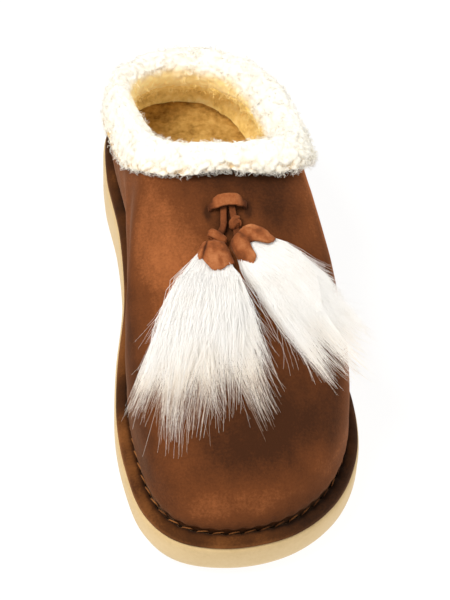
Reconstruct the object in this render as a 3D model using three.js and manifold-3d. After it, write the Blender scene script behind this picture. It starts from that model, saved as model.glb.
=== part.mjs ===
// Suede slip-on shoe for the left foot: cream sole, suede band, one-piece upper, shearling cuff
// turned out over the collar, and two fur tassels on a thong at the instep.
// Millimetres, +Z up. The toe points to -Y and the lateral (outer) side lies at +X.
import * as THREE from 'three';
import { mergeVertices } from 'three/addons/utils/BufferGeometryUtils.js';
import Module from 'manifold-3d';

const wasm = await Module();
wasm.setup();

// Driving sizes
const soleLength = 262;
const gap = 0.3;              // clearance kept between neighbouring pieces
const ringSteps = 60;         // points in each ring that runs round the shoe

// Outsole heights
const foreHeight = 15.7;      // thickness of the sole unit under the ball
const wedgeRise = 9.5;        // extra height under the heel
const wedgeFrom = 105;
const wedgeTo = 205;
const toeSpring = 2.6;
const springLength = 56;
const springCarry = 0.9;      // share of the toe spring that the top face follows
const waistFrom = 108;
const waistTo = 172;
const waistHollow = 1.8;
const heelFlatEnd = 246;
const heelBevel = 2;

// Suede band and crease
const bandHeight = 4.2;
const bandSetback = 0.8;      // band edge inside the sole edge
const creaseInset = 6.8;      // crease of the upper inside the sole edge

// Upper and collar
const wallThickness = 2.5;
// The opening leans to the medial side towards the heel, and its front edge slants to the lateral side
const collar = {
  x: 5.5, lean: -8, skew: 0.08, middle: 205, front: 44, back: 45, halfWidth: 36.5,
  frontSquare: 3.1, backSquare: 2.1,
};
const rimFront = 92;
const rimBack = 61;
const collarLead = 1.5;       // how the rays from crease to rim gather towards the front of the collar
const wallRows = 10;

const insoleThickness = 4.3;

// Outline of the sole from toe to heel: distance from the toe tip, inner edge and outer edge
const outlineRows = [
  { at: 0, medial: -6, lateral: -6 },
  { at: 6, medial: -32, lateral: 20 },
  { at: 22, medial: -45.5, lateral: 39.5 },
  { at: 45, medial: -50.8, lateral: 50.8 },
  { at: 72, medial: -52, lateral: 54 },
  { at: 105, medial: -48, lateral: 50 },
  { at: 140, medial: -41, lateral: 44.5 },
  { at: 175, medial: -39, lateral: 42 },
  { at: 210, medial: -41, lateral: 39.5 },
  { at: 240, medial: -37.5, lateral: 31.5 },
  { at: 256, medial: -25, lateral: 17 },
  { at: 262, medial: -4, lateral: -4 },
];

// Shape of the wall from toe (share 0) to heel (share 1) of the half outline. At the crease it starts off
// by `rise` up and `lean` out; at the rim it leaves by `apron` along a line `drop` degrees below level.
const wallShape = [
  { share: 0, rise: 44, lean: 4, apron: 72, drop: 28 },
  { share: 0.15, rise: 43, lean: 5, apron: 72, drop: 28 },
  { share: 0.3, rise: 40, lean: 4.5, apron: 48, drop: 33 },
  { share: 0.42, rise: 34, lean: 4, apron: 18, drop: 46 },
  { share: 0.52, rise: 27, lean: 5.5, apron: 18, drop: 64 },
  { share: 0.65, rise: 20, lean: 6.5, apron: 16, drop: 78 },
  { share: 0.8, rise: 15, lean: 6.5, apron: 13, drop: 82 },
  { share: 1, rise: 13, lean: 6, apron: 12, drop: 84 },
];

// Section of the cuff before the wall is cut out of it: `out` from the wall's outer face, `up` past the rim
const cuffSection = [
  { out: -1.2, up: -16.5 },
  { out: 6.5, up: -18.5 },
  { out: 9.6, up: -13.5 },
  { out: 10, up: -5 },
  { out: 8.6, up: 3 },
  { out: 4, up: 7.5 },
  { out: -2, up: 8.4 },
  { out: -8, up: 6 },
  { out: -11, up: 0 },
  { out: -11.5, up: -6 },
  { out: -9.5, up: -12 },
  { out: -1.2, up: -12.5 },
];

// How the section is scaled round the collar, from front (share 0) to back (share 1): thickness outside
// the wall on either side, thickness inside it on the lateral side, length of the flap below the rim and
// of the lip above it
const cuffShape = [
  { share: 0, lateral: 0.85, medial: 0.85, pile: 1, flap: 0.68, lip: 0.5 },
  { share: 0.22, lateral: 0.9, medial: 0.72, pile: 1.1, flap: 0.86, lip: 0.54 },
  { share: 0.42, lateral: 0.9, medial: 0.6, pile: 1.2, flap: 0.88, lip: 0.6 },
  { share: 0.65, lateral: 0.66, medial: 0.52, pile: 1.5, flap: 0.95, lip: 0.9 },
  { share: 1, lateral: 0.9, medial: 0.9, pile: 1, flap: 0.95, lip: 1 },
];
const pileFrom = 3;           // depth inside the wall's face from which the inner thickness is scaled

// Instep strap
const keeper = { x: 4, at: 136.5, span: 16.5, width: 6.5, thickness: 1.7, arch: 5.2, depth: 4.4 };

// Thong: plan points from the medial cap up under the strap and down to the lateral cap
const thong = { width: 2.8, thickness: 1.8 };
const thongRoute = [
  { x: -3.6, at: 119.4 },
  { x: -1.4, at: 122.4 },
  { x: 1, at: 126.5 },
  { x: 1.7, at: 131 },
  { x: 2.5, at: 135.5 },
  { x: 4.3, at: 138.5 },
  { x: 6, at: 135.5 },
  { x: 6.2, at: 131.5 },
  { x: 6.4, at: 126 },
  { x: 6.6, at: 121 },
];
const knots = [
  { x: -2.3, at: 122, long: 7.4, wide: 4.2, high: 4.2, turn: 75 },
  { x: 6.2, at: 127.4, long: 5.6, wide: 4.8, high: 4.4, turn: 14 },
];

// Tassels: where the cap starts, its heading from the toe direction (positive to lateral) and its size;
// `tongue` lengthens (or notches) the middle of its mouth. The fur fans out between two headings and
// each lock bends.
const tasselRows = [
  {
    side: 'medial', x: -4.2, at: 119.2, heading: -9, long: 13, wide: 17, deep: 9.5, tongue: 4,
    fan: [-32, 10], bend: [-6, 3], reach: [68, 76, 64],
  },
  {
    side: 'lateral', x: 6.3, at: 122.2, heading: 42, long: 15.5, wide: 19, deep: 9.5, tongue: -7,
    fan: [13, 76], bend: [18, -40], reach: [70, 76, 68],
  },
];
const lowerLocks = 7;
const upperLocks = 5;
const lockSteps = 5;
const lockSides = 5;
const lockRadius = 6.6;
const lockFlatness = 0.75;
const lockRoot = 0.25;        // where the locks start, as a share of the cap's length
const upperLockLift = 5.5;
const steepestDroop = 0.75;   // fall of a hanging lock per millimetre of run

const radians = THREE.MathUtils.degToRad;
const smooth = THREE.MathUtils.smoothstep;
const blend = THREE.MathUtils.lerp;

// Smooth curve through one column of a table, against knots given in rising order
function curveThrough(knotsAt, values) {
  const last = values.length - 1;
  const slopes = values.map((_, i) => {
    const before = Math.max(i - 1, 0);
    const after = Math.min(i + 1, last);
    return (values[after] - values[before]) / (knotsAt[after] - knotsAt[before]);
  });
  return (at) => {
    const place = THREE.MathUtils.clamp(at, knotsAt[0], knotsAt[last]);
    let i = 0;
    while (i < last - 1 && place > knotsAt[i + 1]) i += 1;
    const span = knotsAt[i + 1] - knotsAt[i];
    const t = (place - knotsAt[i]) / span;
    const rise = values[i + 1] - values[i];
    const start = slopes[i] * span;
    const end = slopes[i + 1] * span;
    return values[i] + t * (start + t * (3 * rise - 2 * start - end + t * (start + end - 2 * rise)));
  };
}

function columnCurves(rows, key, columns, knotOf = (value) => value) {
  const knotsAt = rows.map((row) => knotOf(row[key]));
  const curveOf = (name) => curveThrough(knotsAt, rows.map((row) => row[name]));
  return Object.fromEntries(columns.map((name) => [name, curveOf(name)]));
}

// The half turn from toe (0) to heel (pi) spaces the stations closely at both ends
const halfTurnAt = (at) => Math.acos(1 - (2 * at) / soleLength);
const outline = columnCurves(outlineRows, 'at', ['medial', 'lateral'], halfTurnAt);
const wallCurve = columnCurves(wallShape, 'share', ['rise', 'lean', 'apron', 'drop']);
const cuffCurve = columnCurves(cuffShape, 'share', ['lateral', 'medial', 'pile', 'flap', 'lip']);

// A turn of 0 is the toe tip, then round by the lateral side, the heel and the medial side
function halfTurn(turn) {
  return turn <= Math.PI ? turn : 2 * Math.PI - turn;
}

function outlinePoint(turn, inset = 0) {
  const plan = (t) => {
    const half = halfTurn(t);
    const x = t <= Math.PI ? outline.lateral(half) : outline.medial(half);
    return new THREE.Vector2(x, (soleLength * (1 - Math.cos(half))) / 2);
  };
  return insetPoint(plan, turn, inset);
}

// Point of a closed plan curve moved inwards; also gives the outward direction
function insetPoint(plan, turn, inset) {
  const step = 0.02;
  const full = 2 * Math.PI;
  const ahead = plan((turn + step) % full);
  const behind = plan((turn - step + full) % full);
  const outward = new THREE.Vector2(ahead.y - behind.y, behind.x - ahead.x).normalize();
  return { place: plan(turn).addScaledVector(outward, -inset), outward };
}

function soleUnder(at) {
  const spring = toeSpring * Math.max(0, 1 - at / springLength) ** 2;
  const across = THREE.MathUtils.clamp((at - waistFrom) / (waistTo - waistFrom), 0, 1);
  const hollow = waistHollow * Math.sin(Math.PI * across) ** 2;
  const bevel = heelBevel * Math.max(0, (at - heelFlatEnd) / (soleLength - heelFlatEnd)) ** 2;
  return spring + hollow + bevel;
}

function soleTop(at) {
  const spring = springCarry * toeSpring * Math.max(0, 1 - at / springLength) ** 2;
  return foreHeight + spring + wedgeRise * smooth(at, wedgeFrom, wedgeTo);
}

function turns() {
  return Array.from({ length: ringSteps }, (_, i) => (2 * Math.PI * i) / ringSteps);
}

// Ring round the shoe at one inset, at a height worked out from the distance to the toe
function outlineRing(inset, heightAt) {
  return turns().map((turn) => {
    const { place } = outlinePoint(turn, inset);
    return new THREE.Vector3(place.x, place.y, heightAt(place.y));
  });
}

// Solids from rows of points
function geometryFrom(points, triangles) {
  const geometry = new THREE.BufferGeometry();
  const numbers = points.flatMap((point) => [point.x, point.y, point.z]);
  geometry.setAttribute('position', new THREE.Float32BufferAttribute(numbers, 3));
  geometry.setIndex(triangles);
  geometry.computeVertexNormals();
  return geometry;
}

function skin(rows, closed) {
  const steps = rows[0].length;
  const triangles = [];
  const bands = closed ? rows.length : rows.length - 1;
  for (let i = 0; i < bands; i += 1) {
    const low = i * steps;
    const high = ((i + 1) % rows.length) * steps;
    for (let j = 0; j < steps; j += 1) {
      const k = (j + 1) % steps;
      triangles.push(low + j, low + k, high + k, low + j, high + k, high + j);
    }
  }
  return triangles;
}

// Ring of any section: the rows run round the section
function ringSolid(rows) {
  return geometryFrom(rows.flat(), skin(rows, true));
}

// Stack of shoe outlines, closed below and above by strips from side to side
function outlineSolid(rows) {
  const steps = rows[0].length;
  const triangles = skin(rows, false);
  const top = (rows.length - 1) * steps;
  for (let j = 0; j < steps / 2; j += 1) {
    const [a, b, c, d] = [j, j + 1, steps - j - 1, (steps - j) % steps];
    if (b !== c) {
      triangles.push(top + b, top + c, top + d, b, d, c);
    }
    if (a !== d) {
      triangles.push(top + a, top + b, top + d, a, d, b);
    }
  }
  return geometryFrom(rows.flat(), triangles);
}

// Tube along rows of small rings, closed by a fan at both ends
function tubeSolid(rows) {
  const steps = rows[0].length;
  const triangles = skin(rows, false);
  const end = (rows.length - 1) * steps;
  for (let j = 1; j < steps - 1; j += 1) {
    triangles.push(0, j + 1, j, end, end + j, end + j + 1);
  }
  return geometryFrom(rows.flat(), triangles);
}

// Joining and cutting
function solidOf(geometry) {
  const bare = geometry.clone();
  bare.deleteAttribute('normal');
  bare.deleteAttribute('uv');
  const merged = mergeVertices(bare, 1e-4);
  const vertProperties = new Float32Array(merged.attributes.position.array);
  const triVerts = new Uint32Array(merged.index.array);
  return new wasm.Manifold(new wasm.Mesh({ numProp: 3, vertProperties, triVerts }));
}

function geometryOf(solid) {
  const { vertProperties, triVerts } = solid.getMesh();
  const geometry = new THREE.BufferGeometry();
  geometry.setAttribute('position', new THREE.BufferAttribute(vertProperties, 3));
  geometry.setIndex(new THREE.BufferAttribute(triVerts, 1));
  geometry.computeVertexNormals();
  return geometry;
}

function joined(geometries) {
  return geometries.map(solidOf).reduce((sum, solid) => sum.add(solid));
}

// The largest piece that a cut leaves
function mainPiece(solid) {
  return solid.decompose().reduce((best, piece) => (piece.volume() > best.volume() ? piece : best));
}

// Outsole: moulded side with a soft lower edge and a slightly drawn-in top edge
function outsoleGeometry() {
  const rows = [
    outlineRing(3.2, soleUnder),
    outlineRing(0.9, (at) => soleUnder(at) + 1.4),
    outlineRing(0, (at) => soleUnder(at) + 4.5),
    outlineRing(0, (at) => soleTop(at) - 3.5),
    outlineRing(0.5, (at) => soleTop(at) - 0.8),
    outlineRing(1.6, soleTop),
  ];
  return outlineSolid(rows);
}

// Band: rolls from the crease down to the sole edge
function weltGeometry() {
  const width = creaseInset - gap - bandSetback;
  const section = [
    { in: width, up: gap },
    { in: 0, up: gap },
    { in: 0.2, up: bandHeight * 0.48 },
    { in: width * 0.22, up: bandHeight * 0.8 },
    { in: width * 0.58, up: bandHeight },
    { in: width, up: bandHeight * 0.93 },
  ];
  const rows = section.map((row) => outlineRing(bandSetback + row.in, (at) => soleTop(at) + row.up));
  return ringSolid(rows);
}

function collarPlan(turn) {
  const side = turn <= Math.PI ? 1 : -1;
  const angle = Math.PI * (halfTurn(turn) / Math.PI) ** collarLead;
  const cosine = Math.cos(angle);
  const power = 2 / (cosine > 0 ? collar.frontSquare : collar.backSquare);
  const along = Math.abs(cosine) ** power;
  const across = Math.max(Math.sin(angle), 0) ** power;
  const at = cosine > 0 ? -collar.front * along : collar.back * along;
  const back = smooth(at, -collar.front, collar.back);
  const out = side * collar.halfWidth * across;
  const slant = collar.skew * out * (1 - back);
  return new THREE.Vector2(collar.x + collar.lean * back + out, collar.middle + at - slant);
}

function rimHeight(turn) {
  const angle = Math.PI * (halfTurn(turn) / Math.PI) ** collarLead;
  return blend(rimBack, rimFront, (1 + Math.cos(angle)) / 2);
}

// The ray of the wall at one turn, from the crease to the rim
function wallRay(turn) {
  const share = halfTurn(turn) / Math.PI;
  const foot = outlinePoint(turn, creaseInset);
  const rim = insetPoint(collarPlan, turn, 0);
  const drop = radians(wallCurve.drop(share));
  const apron = wallCurve.apron(share);
  const start = new THREE.Vector3(foot.place.x, foot.place.y, soleTop(foot.place.y) + bandHeight);
  const end = new THREE.Vector3(rim.place.x, rim.place.y, rimHeight(turn));
  const lift = new THREE.Vector3(foot.outward.x, foot.outward.y, 0).multiplyScalar(wallCurve.lean(share));
  lift.z = wallCurve.rise(share);
  const fall = new THREE.Vector3(rim.outward.x, rim.outward.y, 0).multiplyScalar(apron * Math.cos(drop));
  fall.z = -apron * Math.sin(drop);
  return new THREE.CubicBezierCurve3(start, start.clone().add(lift), end.clone().add(fall), end);
}

function wallNormal(turn, share) {
  const step = 0.02;
  const full = 2 * Math.PI;
  const low = Math.min(share, 1 - step);
  const ahead = wallRay((turn + step) % full).getPoint(share);
  const behind = wallRay((turn - step + full) % full).getPoint(share);
  const round = ahead.sub(behind);
  const rise = wallRay(turn).getPoint(low + step).sub(wallRay(turn).getPoint(low));
  return round.cross(rise).normalize();
}

// Ring on the wall at one share of the way up, moved out (or in) along its normal; past the rim it runs
// straight on
function wallRing(share, offset, past = 0) {
  return turns().map((turn) => {
    const ray = wallRay(turn);
    const point = ray.getPoint(share).addScaledVector(wallNormal(turn, share), offset);
    return point.addScaledVector(ray.getTangent(share), past);
  });
}

const wallShares = Array.from({ length: wallRows + 1 }, (_, i) => i / wallRows);

// Shell between two offsets from the wall's outer face, carried straight down inside the band
function wallShell(outer, inner, past = 0) {
  const above = (at) => soleTop(at) + gap;
  const pastRim = (share) => (share === 1 ? past : 0);
  const rows = [
    outlineRing(creaseInset - outer, above),
    ...wallShares.map((share) => wallRing(share, outer, pastRim(share))),
    ...wallShares.toReversed().map((share) => wallRing(share, inner, pastRim(share))),
    outlineRing(creaseInset - inner, above),
  ];
  return ringSolid(rows);
}

// Height of the wall's outer face above a plan point
const outerFace = geometryFrom(
  wallShares.flatMap((share) => wallRing(share, 0)),
  skin(wallShares.map((share) => wallRing(share, 0)), false),
);
const outerMesh = new THREE.Mesh(outerFace, new THREE.MeshBasicMaterial({ side: THREE.DoubleSide }));
const probe = new THREE.Raycaster();
function heightOver(x, at) {
  probe.set(new THREE.Vector3(x, at, 2 * rimFront), new THREE.Vector3(0, 0, -1));
  const hit = probe.intersectObject(outerMesh)[0];
  return hit ? hit.point.z : -Infinity;
}

// Local frame on the vamp: across (X), up from the leather (Y) and towards the toe (Z)
function vampFrame(x, at, heading = 0) {
  const reach = 5;
  const slopeX = (heightOver(x + reach, at) - heightOver(x - reach, at)) / (2 * reach);
  const slopeY = (heightOver(x, at + reach) - heightOver(x, at - reach)) / (2 * reach);
  const up = new THREE.Vector3(-slopeX, -slopeY, 1).normalize();
  const turn = radians(heading);
  const ahead = new THREE.Vector3(Math.sin(turn), -Math.cos(turn), 0).projectOnPlane(up).normalize();
  const across = new THREE.Vector3().crossVectors(up, ahead);
  const frame = new THREE.Matrix4().makeBasis(across, up, ahead);
  return frame.setPosition(x, at, heightOver(x, at));
}

// Instep strap: an arch whose two legs pass through slits in the upper
function keeperGeometry() {
  const half = keeper.span / 2;
  const inner = half - keeper.thickness;
  const spring = 0.4;
  const arch = new THREE.Shape();
  arch.moveTo(-half, -keeper.depth);
  arch.lineTo(-inner, -keeper.depth);
  arch.lineTo(-inner, spring);
  arch.absellipse(0, spring, inner, keeper.arch - keeper.thickness - spring, Math.PI, 0, true);
  arch.lineTo(inner, -keeper.depth);
  arch.lineTo(half, -keeper.depth);
  arch.lineTo(half, spring);
  arch.absellipse(0, spring, half, keeper.arch - spring, 0, Math.PI, false);
  arch.lineTo(-half, -keeper.depth);
  const swept = { depth: keeper.width, bevelEnabled: false, curveSegments: 10 };
  const strap = new THREE.ExtrudeGeometry(arch, swept);
  strap.translate(0, 0, -keeper.width / 2);
  return strap.applyMatrix4(vampFrame(keeper.x, keeper.at));
}

function slitGeometries() {
  const middle = (keeper.span - keeper.thickness) / 2;
  const deep = keeper.depth + 4;
  return [-middle, middle].map((x) => {
    const slit = new THREE.BoxGeometry(keeper.thickness + 2 * gap, deep, keeper.width + 2 * gap);
    slit.translate(x, -deep / 2 + 3, 0);
    return slit.applyMatrix4(vampFrame(keeper.x, keeper.at));
  });
}

function upperGeometry() {
  const shell = solidOf(wallShell(0, -wallThickness));
  return geometryOf(slitGeometries().map(solidOf).reduce((wall, slit) => wall.subtract(slit), shell));
}

// Footbed inside the foot of the wall, standing on the outsole
function insoleGeometry() {
  const inset = creaseInset + wallThickness + gap;
  const edge = { in: 2.5, down: 1.5 };
  const rows = [
    outlineRing(inset, (at) => soleTop(at) + gap),
    outlineRing(inset, (at) => soleTop(at) + gap + insoleThickness - edge.down),
    outlineRing(inset + edge.in, (at) => soleTop(at) + gap + insoleThickness),
  ];
  return outlineSolid(rows);
}

// Point off the wall, measured along it from the rim and out along its normal
function rimPoint(turn, out, up) {
  const ray = wallRay(turn);
  if (up >= 0) {
    const end = ray.getPoint(1);
    return end.addScaledVector(ray.getTangent(1), up).addScaledVector(wallNormal(turn, 1), out);
  }
  const length = ray.getLength();
  const share = ray.getUtoTmapping((length + up) / length);
  return ray.getPoint(share).addScaledVector(wallNormal(turn, share), out);
}

function cuffPoint(turn, row) {
  const share = halfTurn(turn) / Math.PI;
  const lateral = turn <= Math.PI;
  const bulk = lateral ? cuffCurve.lateral(share) : cuffCurve.medial(share);
  const extra = lateral ? cuffCurve.pile(share) - 1 : 0;
  const inner = row.out - Math.max(-pileFrom - row.out, 0) * extra;
  const out = row.out > 0 ? row.out * bulk : inner;
  const up = row.up * (row.up > 0 ? cuffCurve.lip(share) : cuffCurve.flap(share));
  return rimPoint(turn, out, up);
}

function cuffGeometry() {
  const whole = ringSolid(cuffSection.map((row) => turns().map((turn) => cuffPoint(turn, row))));
  const slot = wallShell(gap, -wallThickness - gap, gap);
  return geometryOf(mainPiece(solidOf(whole).subtract(solidOf(slot))));
}

// The wall with a clearance, thick enough inwards to cut away all of a trim piece that dips below its face
function vampBody() {
  return solidOf(wallShell(gap, -6 * wallThickness));
}

// Small ring of points round a path point, turned so that the rows run along the path
function pathRing(centre, ahead, halfWidth, halfHeight, sides) {
  const across = new THREE.Vector3(0, 0, 1).cross(ahead).normalize();
  const up = new THREE.Vector3().crossVectors(ahead, across);
  return Array.from({ length: sides }, (_, i) => {
    const angle = (2 * Math.PI * (i + 0.5)) / sides;
    const point = centre.clone().addScaledVector(across, halfWidth * Math.cos(angle));
    return point.addScaledVector(up, halfHeight * Math.sin(angle));
  });
}

function sweep(path, widthAt, heightAt, sides) {
  const last = path.length - 1;
  return tubeSolid(path.map((point, i) => {
    const ahead = path[Math.min(i + 1, last)].clone().sub(path[Math.max(i - 1, 0)]).normalize();
    return pathRing(point, ahead, widthAt(i / last), heightAt(i / last), sides);
  }));
}

function thongGeometry() {
  const halfHigh = thong.thickness / 2;
  const points = thongRoute.map((row) => {
    return new THREE.Vector3(row.x, row.at, heightOver(row.x, row.at) + 2 * gap + halfHigh);
  });
  const route = new THREE.CatmullRomCurve3(points).getSpacedPoints(20);
  const lace = sweep(route, () => thong.width / 2, () => halfHigh, 8);
  const knotShapes = knots.map((row) => {
    const knot = new THREE.SphereGeometry(0.5, 10, 6).scale(row.long, row.high, row.wide);
    knot.rotateY(radians(row.turn));
    return knot.translate(0, row.high / 2 + gap, 0).applyMatrix4(vampFrame(row.x, row.at));
  });
  const caps = tasselRows.map((row) => solidOf(capGeometry(row, gap)));
  const whole = caps.reduce((lacing, cap) => lacing.subtract(cap), joined([lace, ...knotShapes]));
  return geometryOf(mainPiece(whole.subtract(vampBody())));
}

// Folded cap: a flattened hood from the knot to its mouth, lying on the vamp
function capGeometry(row, grow = 0) {
  const sides = 14;
  const stages = [
    { along: 0, wide: 0.42, deep: 0.5 },
    { along: 0.16, wide: 0.74, deep: 0.84 },
    { along: 0.55, wide: 0.9, deep: 1 },
    { along: 1, wide: 1, deep: 1.04 },
  ];
  const frame = vampFrame(row.x, row.at, row.heading);
  const rows = stages.map((stage) => Array.from({ length: sides }, (_, i) => {
    const angle = -(2 * Math.PI * i) / sides;
    const facing = Math.max(Math.sin(angle), 0) ** 2;
    const long = row.long + row.tongue * facing;
    const wide = (row.wide / 2) * stage.wide + grow;
    const deep = (row.deep / 2) * stage.deep + grow;
    const along = blend(-grow, long + 2 * grow, stage.along);
    const up = row.deep / 2 + 2 * gap + deep * Math.sin(angle);
    return new THREE.Vector3(wide * Math.cos(angle), up, along).applyMatrix4(frame);
  }).reverse());
  return tubeSolid(rows);
}

function cappedOnVamp(row) {
  return geometryOf(mainPiece(solidOf(capGeometry(row)).subtract(vampBody())));
}

// One lock: leaves the cap at a heading, bends as it goes, and lies on the vamp or hangs past its side
function lockGeometry(row, spread, lift) {
  const headingStart = blend(row.fan[0], row.fan[1], spread);
  const bend = blend(row.bend[0], row.bend[1], spread);
  const [reachFrom, reachMiddle, reachTo] = row.reach;
  const reach = curveThrough([0, 0.5, 1], [reachFrom, reachMiddle, reachTo])(spread);
  const step = reach / lockSteps;
  const root = new THREE.Vector3(0, row.deep / 2, lockRoot * row.long);
  root.applyMatrix4(vampFrame(row.x, row.at, row.heading));
  const path = [root];
  const radiusAt = (share) => lockRadius * (0.5 + 1.1 * share - 1.5 * share ** 4);
  for (let i = 1; i <= lockSteps; i += 1) {
    const share = i / lockSteps;
    const heading = radians(headingStart + bend * share);
    const before = path[i - 1];
    const x = before.x + step * Math.sin(heading);
    const at = before.y - step * Math.cos(heading);
    const lying = heightOver(x, at) + radiusAt(share) * lockFlatness + 2 * gap;
    const height = lying + lift * Math.sin(Math.PI * share);
    path.push(new THREE.Vector3(x, at, Math.max(height, before.z - step * steepestDroop)));
  }
  return sweep(path, radiusAt, (share) => radiusAt(share) * lockFlatness, lockSides);
}

function furSolid(row) {
  const locks = [];
  for (let i = 0; i < lowerLocks; i += 1) {
    locks.push(lockGeometry(row, i / (lowerLocks - 1), 0));
  }
  for (let i = 0; i < upperLocks; i += 1) {
    locks.push(lockGeometry(row, (i + 0.5) / upperLocks, upperLockLift));
  }
  const body = joined(locks).subtract(vampBody());
  const caps = tasselRows.map((cap) => solidOf(capGeometry(cap, 2 * gap)));
  return mainPiece(caps.reduce((fur, cap) => fur.subtract(cap), body));
}

const [medialTassel, lateralTassel] = tasselRows;

function finish(color, roughness) {
  return new THREE.MeshStandardMaterial({ color, roughness, metalness: 0 });
}

const creamRubber = finish(0xe3c88f, 0.6);
const brownSuede = finish(0x8a4d27, 0.95);
const tanSuede = finish(0xb06a38, 0.95);
const honeyFleece = finish(0xc79f5c, 1);
const whiteShearling = finish(0xf3eee0, 1);
const whiteFur = finish(0xf4f1ea, 0.9);

const pieces = [
  ['outsole', outsoleGeometry(), creamRubber],
  ['welt', weltGeometry(), brownSuede],
  ['upper', upperGeometry(), brownSuede],
  ['insole', insoleGeometry(), honeyFleece],
  ['cuff', cuffGeometry(), whiteShearling],
  ['keeper', keeperGeometry(), tanSuede],
  ['thong', thongGeometry(), tanSuede],
  ['tassel_cap_medial', cappedOnVamp(medialTassel), tanSuede],
  ['tassel_cap_lateral', cappedOnVamp(lateralTassel), tanSuede],
  ['tassel_fur_medial', geometryOf(furSolid(medialTassel)), whiteFur],
  ['tassel_fur_lateral', geometryOf(furSolid(lateralTassel)), whiteFur],
];

const shoe = new THREE.Group();
for (const [name, geometry, material] of pieces) {
  const piece = new THREE.Mesh(geometry, material);
  piece.name = name;
  shoe.add(piece);
}

// The origin lies at the middle of the shoe's box, on the ground
const box = new THREE.Box3().setFromObject(shoe);
const middle = box.getCenter(new THREE.Vector3());
shoe.position.set(-middle.x, -middle.y, -box.min.z);

export default shoe;
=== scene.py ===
import math

import bpy
import numpy as np
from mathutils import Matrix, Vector
from mathutils.kdtree import KDTree


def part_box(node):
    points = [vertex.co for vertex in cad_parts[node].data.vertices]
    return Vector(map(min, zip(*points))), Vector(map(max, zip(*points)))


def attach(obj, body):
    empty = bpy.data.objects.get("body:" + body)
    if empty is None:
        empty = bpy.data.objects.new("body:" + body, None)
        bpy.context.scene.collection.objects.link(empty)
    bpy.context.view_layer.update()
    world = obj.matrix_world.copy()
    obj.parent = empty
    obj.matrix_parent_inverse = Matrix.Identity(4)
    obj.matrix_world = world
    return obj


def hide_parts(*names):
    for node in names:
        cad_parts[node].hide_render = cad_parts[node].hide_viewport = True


# Suede slip-on for the left foot: shearling cuff, fleece inside, cream sole and two fur tassels.
# Shapes are worked out in millimetres: x to the outer side, y from the toe tip to the heel, z up.
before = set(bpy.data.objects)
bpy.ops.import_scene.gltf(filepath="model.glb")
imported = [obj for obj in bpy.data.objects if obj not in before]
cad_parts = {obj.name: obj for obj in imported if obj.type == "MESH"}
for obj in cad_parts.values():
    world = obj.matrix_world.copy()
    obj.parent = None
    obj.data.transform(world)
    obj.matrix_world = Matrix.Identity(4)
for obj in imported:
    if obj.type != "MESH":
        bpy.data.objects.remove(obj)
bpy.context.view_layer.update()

form = {
    "length": 262, "gap": 0.3,
    "foreHeight": 15.7, "wedgeRise": 9.5, "wedgeFrom": 105, "wedgeTo": 205,
    "toeSpring": 2.6, "springLength": 56, "springCarry": 0.9,
    "waistFrom": 108, "waistTo": 172, "waistHollow": 1.8, "heelFlatEnd": 246, "heelBevel": 2,
    "bandHeight": 4.2, "bandSetback": 0.8, "creaseInset": 6.8, "wall": 2.5,
    "rimFront": 92, "rimBack": 61, "collarLead": 1.5,
    "collarX": 5.5, "collarLean": -8, "collarSkew": 0.08,
    "collarMiddle": 205, "collarFront": 44, "collarBack": 45, "collarHalf": 36.5,
    "frontSquare": 3.1, "backSquare": 2.1, "insole": 4.3,
}
outlineRows = {  # distance from the toe tip, inner edge, outer edge
    "at": (0, 6, 22, 45, 72, 105, 140, 175, 210, 240, 256, 262),
    "medial": (-6, -32, -45.5, -50.8, -52, -48, -41, -39, -41, -37.5, -25, -4),
    "lateral": (-6, 20, 39.5, 50.8, 54, 50, 44.5, 42, 39.5, 31.5, 17, -4),
}
wallRows = {  # from toe to heel: how the wall leaves the crease, and how it comes down from the rim
    "share": (0, 0.15, 0.3, 0.42, 0.52, 0.65, 0.8, 1),
    "rise": (44, 43, 40, 34, 27, 20, 15, 13),
    "lean": (4, 5, 4.5, 4, 5.5, 6.5, 6.5, 6),
    "apron": (72, 72, 48, 18, 18, 16, 13, 12),
    "drop": (28, 28, 33, 46, 64, 78, 82, 84),
}


def curveThrough(knots, values):
    knots, values = np.array(knots, float), np.array(values, float)
    slopes = np.gradient(values, knots)
    slopes[1:-1] = (values[2:] - values[:-2]) / (knots[2:] - knots[:-2])

    def curve(at):
        at = np.clip(at, knots[0], knots[-1])
        i = np.clip(np.searchsorted(knots, at) - 1, 0, len(knots) - 2)
        span = knots[i + 1] - knots[i]
        t = (at - knots[i]) / span
        rise = values[i + 1] - values[i]
        start, end = slopes[i] * span, slopes[i + 1] * span
        return values[i] + t * (start + t * (3 * rise - 2 * start - end + t * (start + end - 2 * rise)))

    return curve


def unit(vectors):
    return vectors / np.maximum(np.linalg.norm(vectors, axis=-1, keepdims=True), 1e-9)


def smooth(at, low, high):
    t = np.clip((at - low) / (high - low), 0, 1)
    return t * t * (3 - 2 * t)


halfKnots = np.arccos(1 - 2 * np.array(outlineRows["at"]) / form["length"])
outline = {side: curveThrough(halfKnots, outlineRows[side]) for side in ("medial", "lateral")}
wallCurve = {
    name: curveThrough(wallRows["share"], row) for name, row in wallRows.items() if name != "share"}


def halfTurn(turn):  # 0 at the toe tip, pi at the heel
    turn = np.mod(turn, 2 * np.pi)
    return np.where(turn <= np.pi, turn, 2 * np.pi - turn)


def onLateral(turn):
    return np.mod(turn, 2 * np.pi) <= np.pi


def outlinePlan(turn):
    half = halfTurn(turn)
    x = np.where(onLateral(turn), outline["lateral"](half), outline["medial"](half))
    return np.stack([x, form["length"] * (1 - np.cos(half)) / 2], axis=-1)


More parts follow.
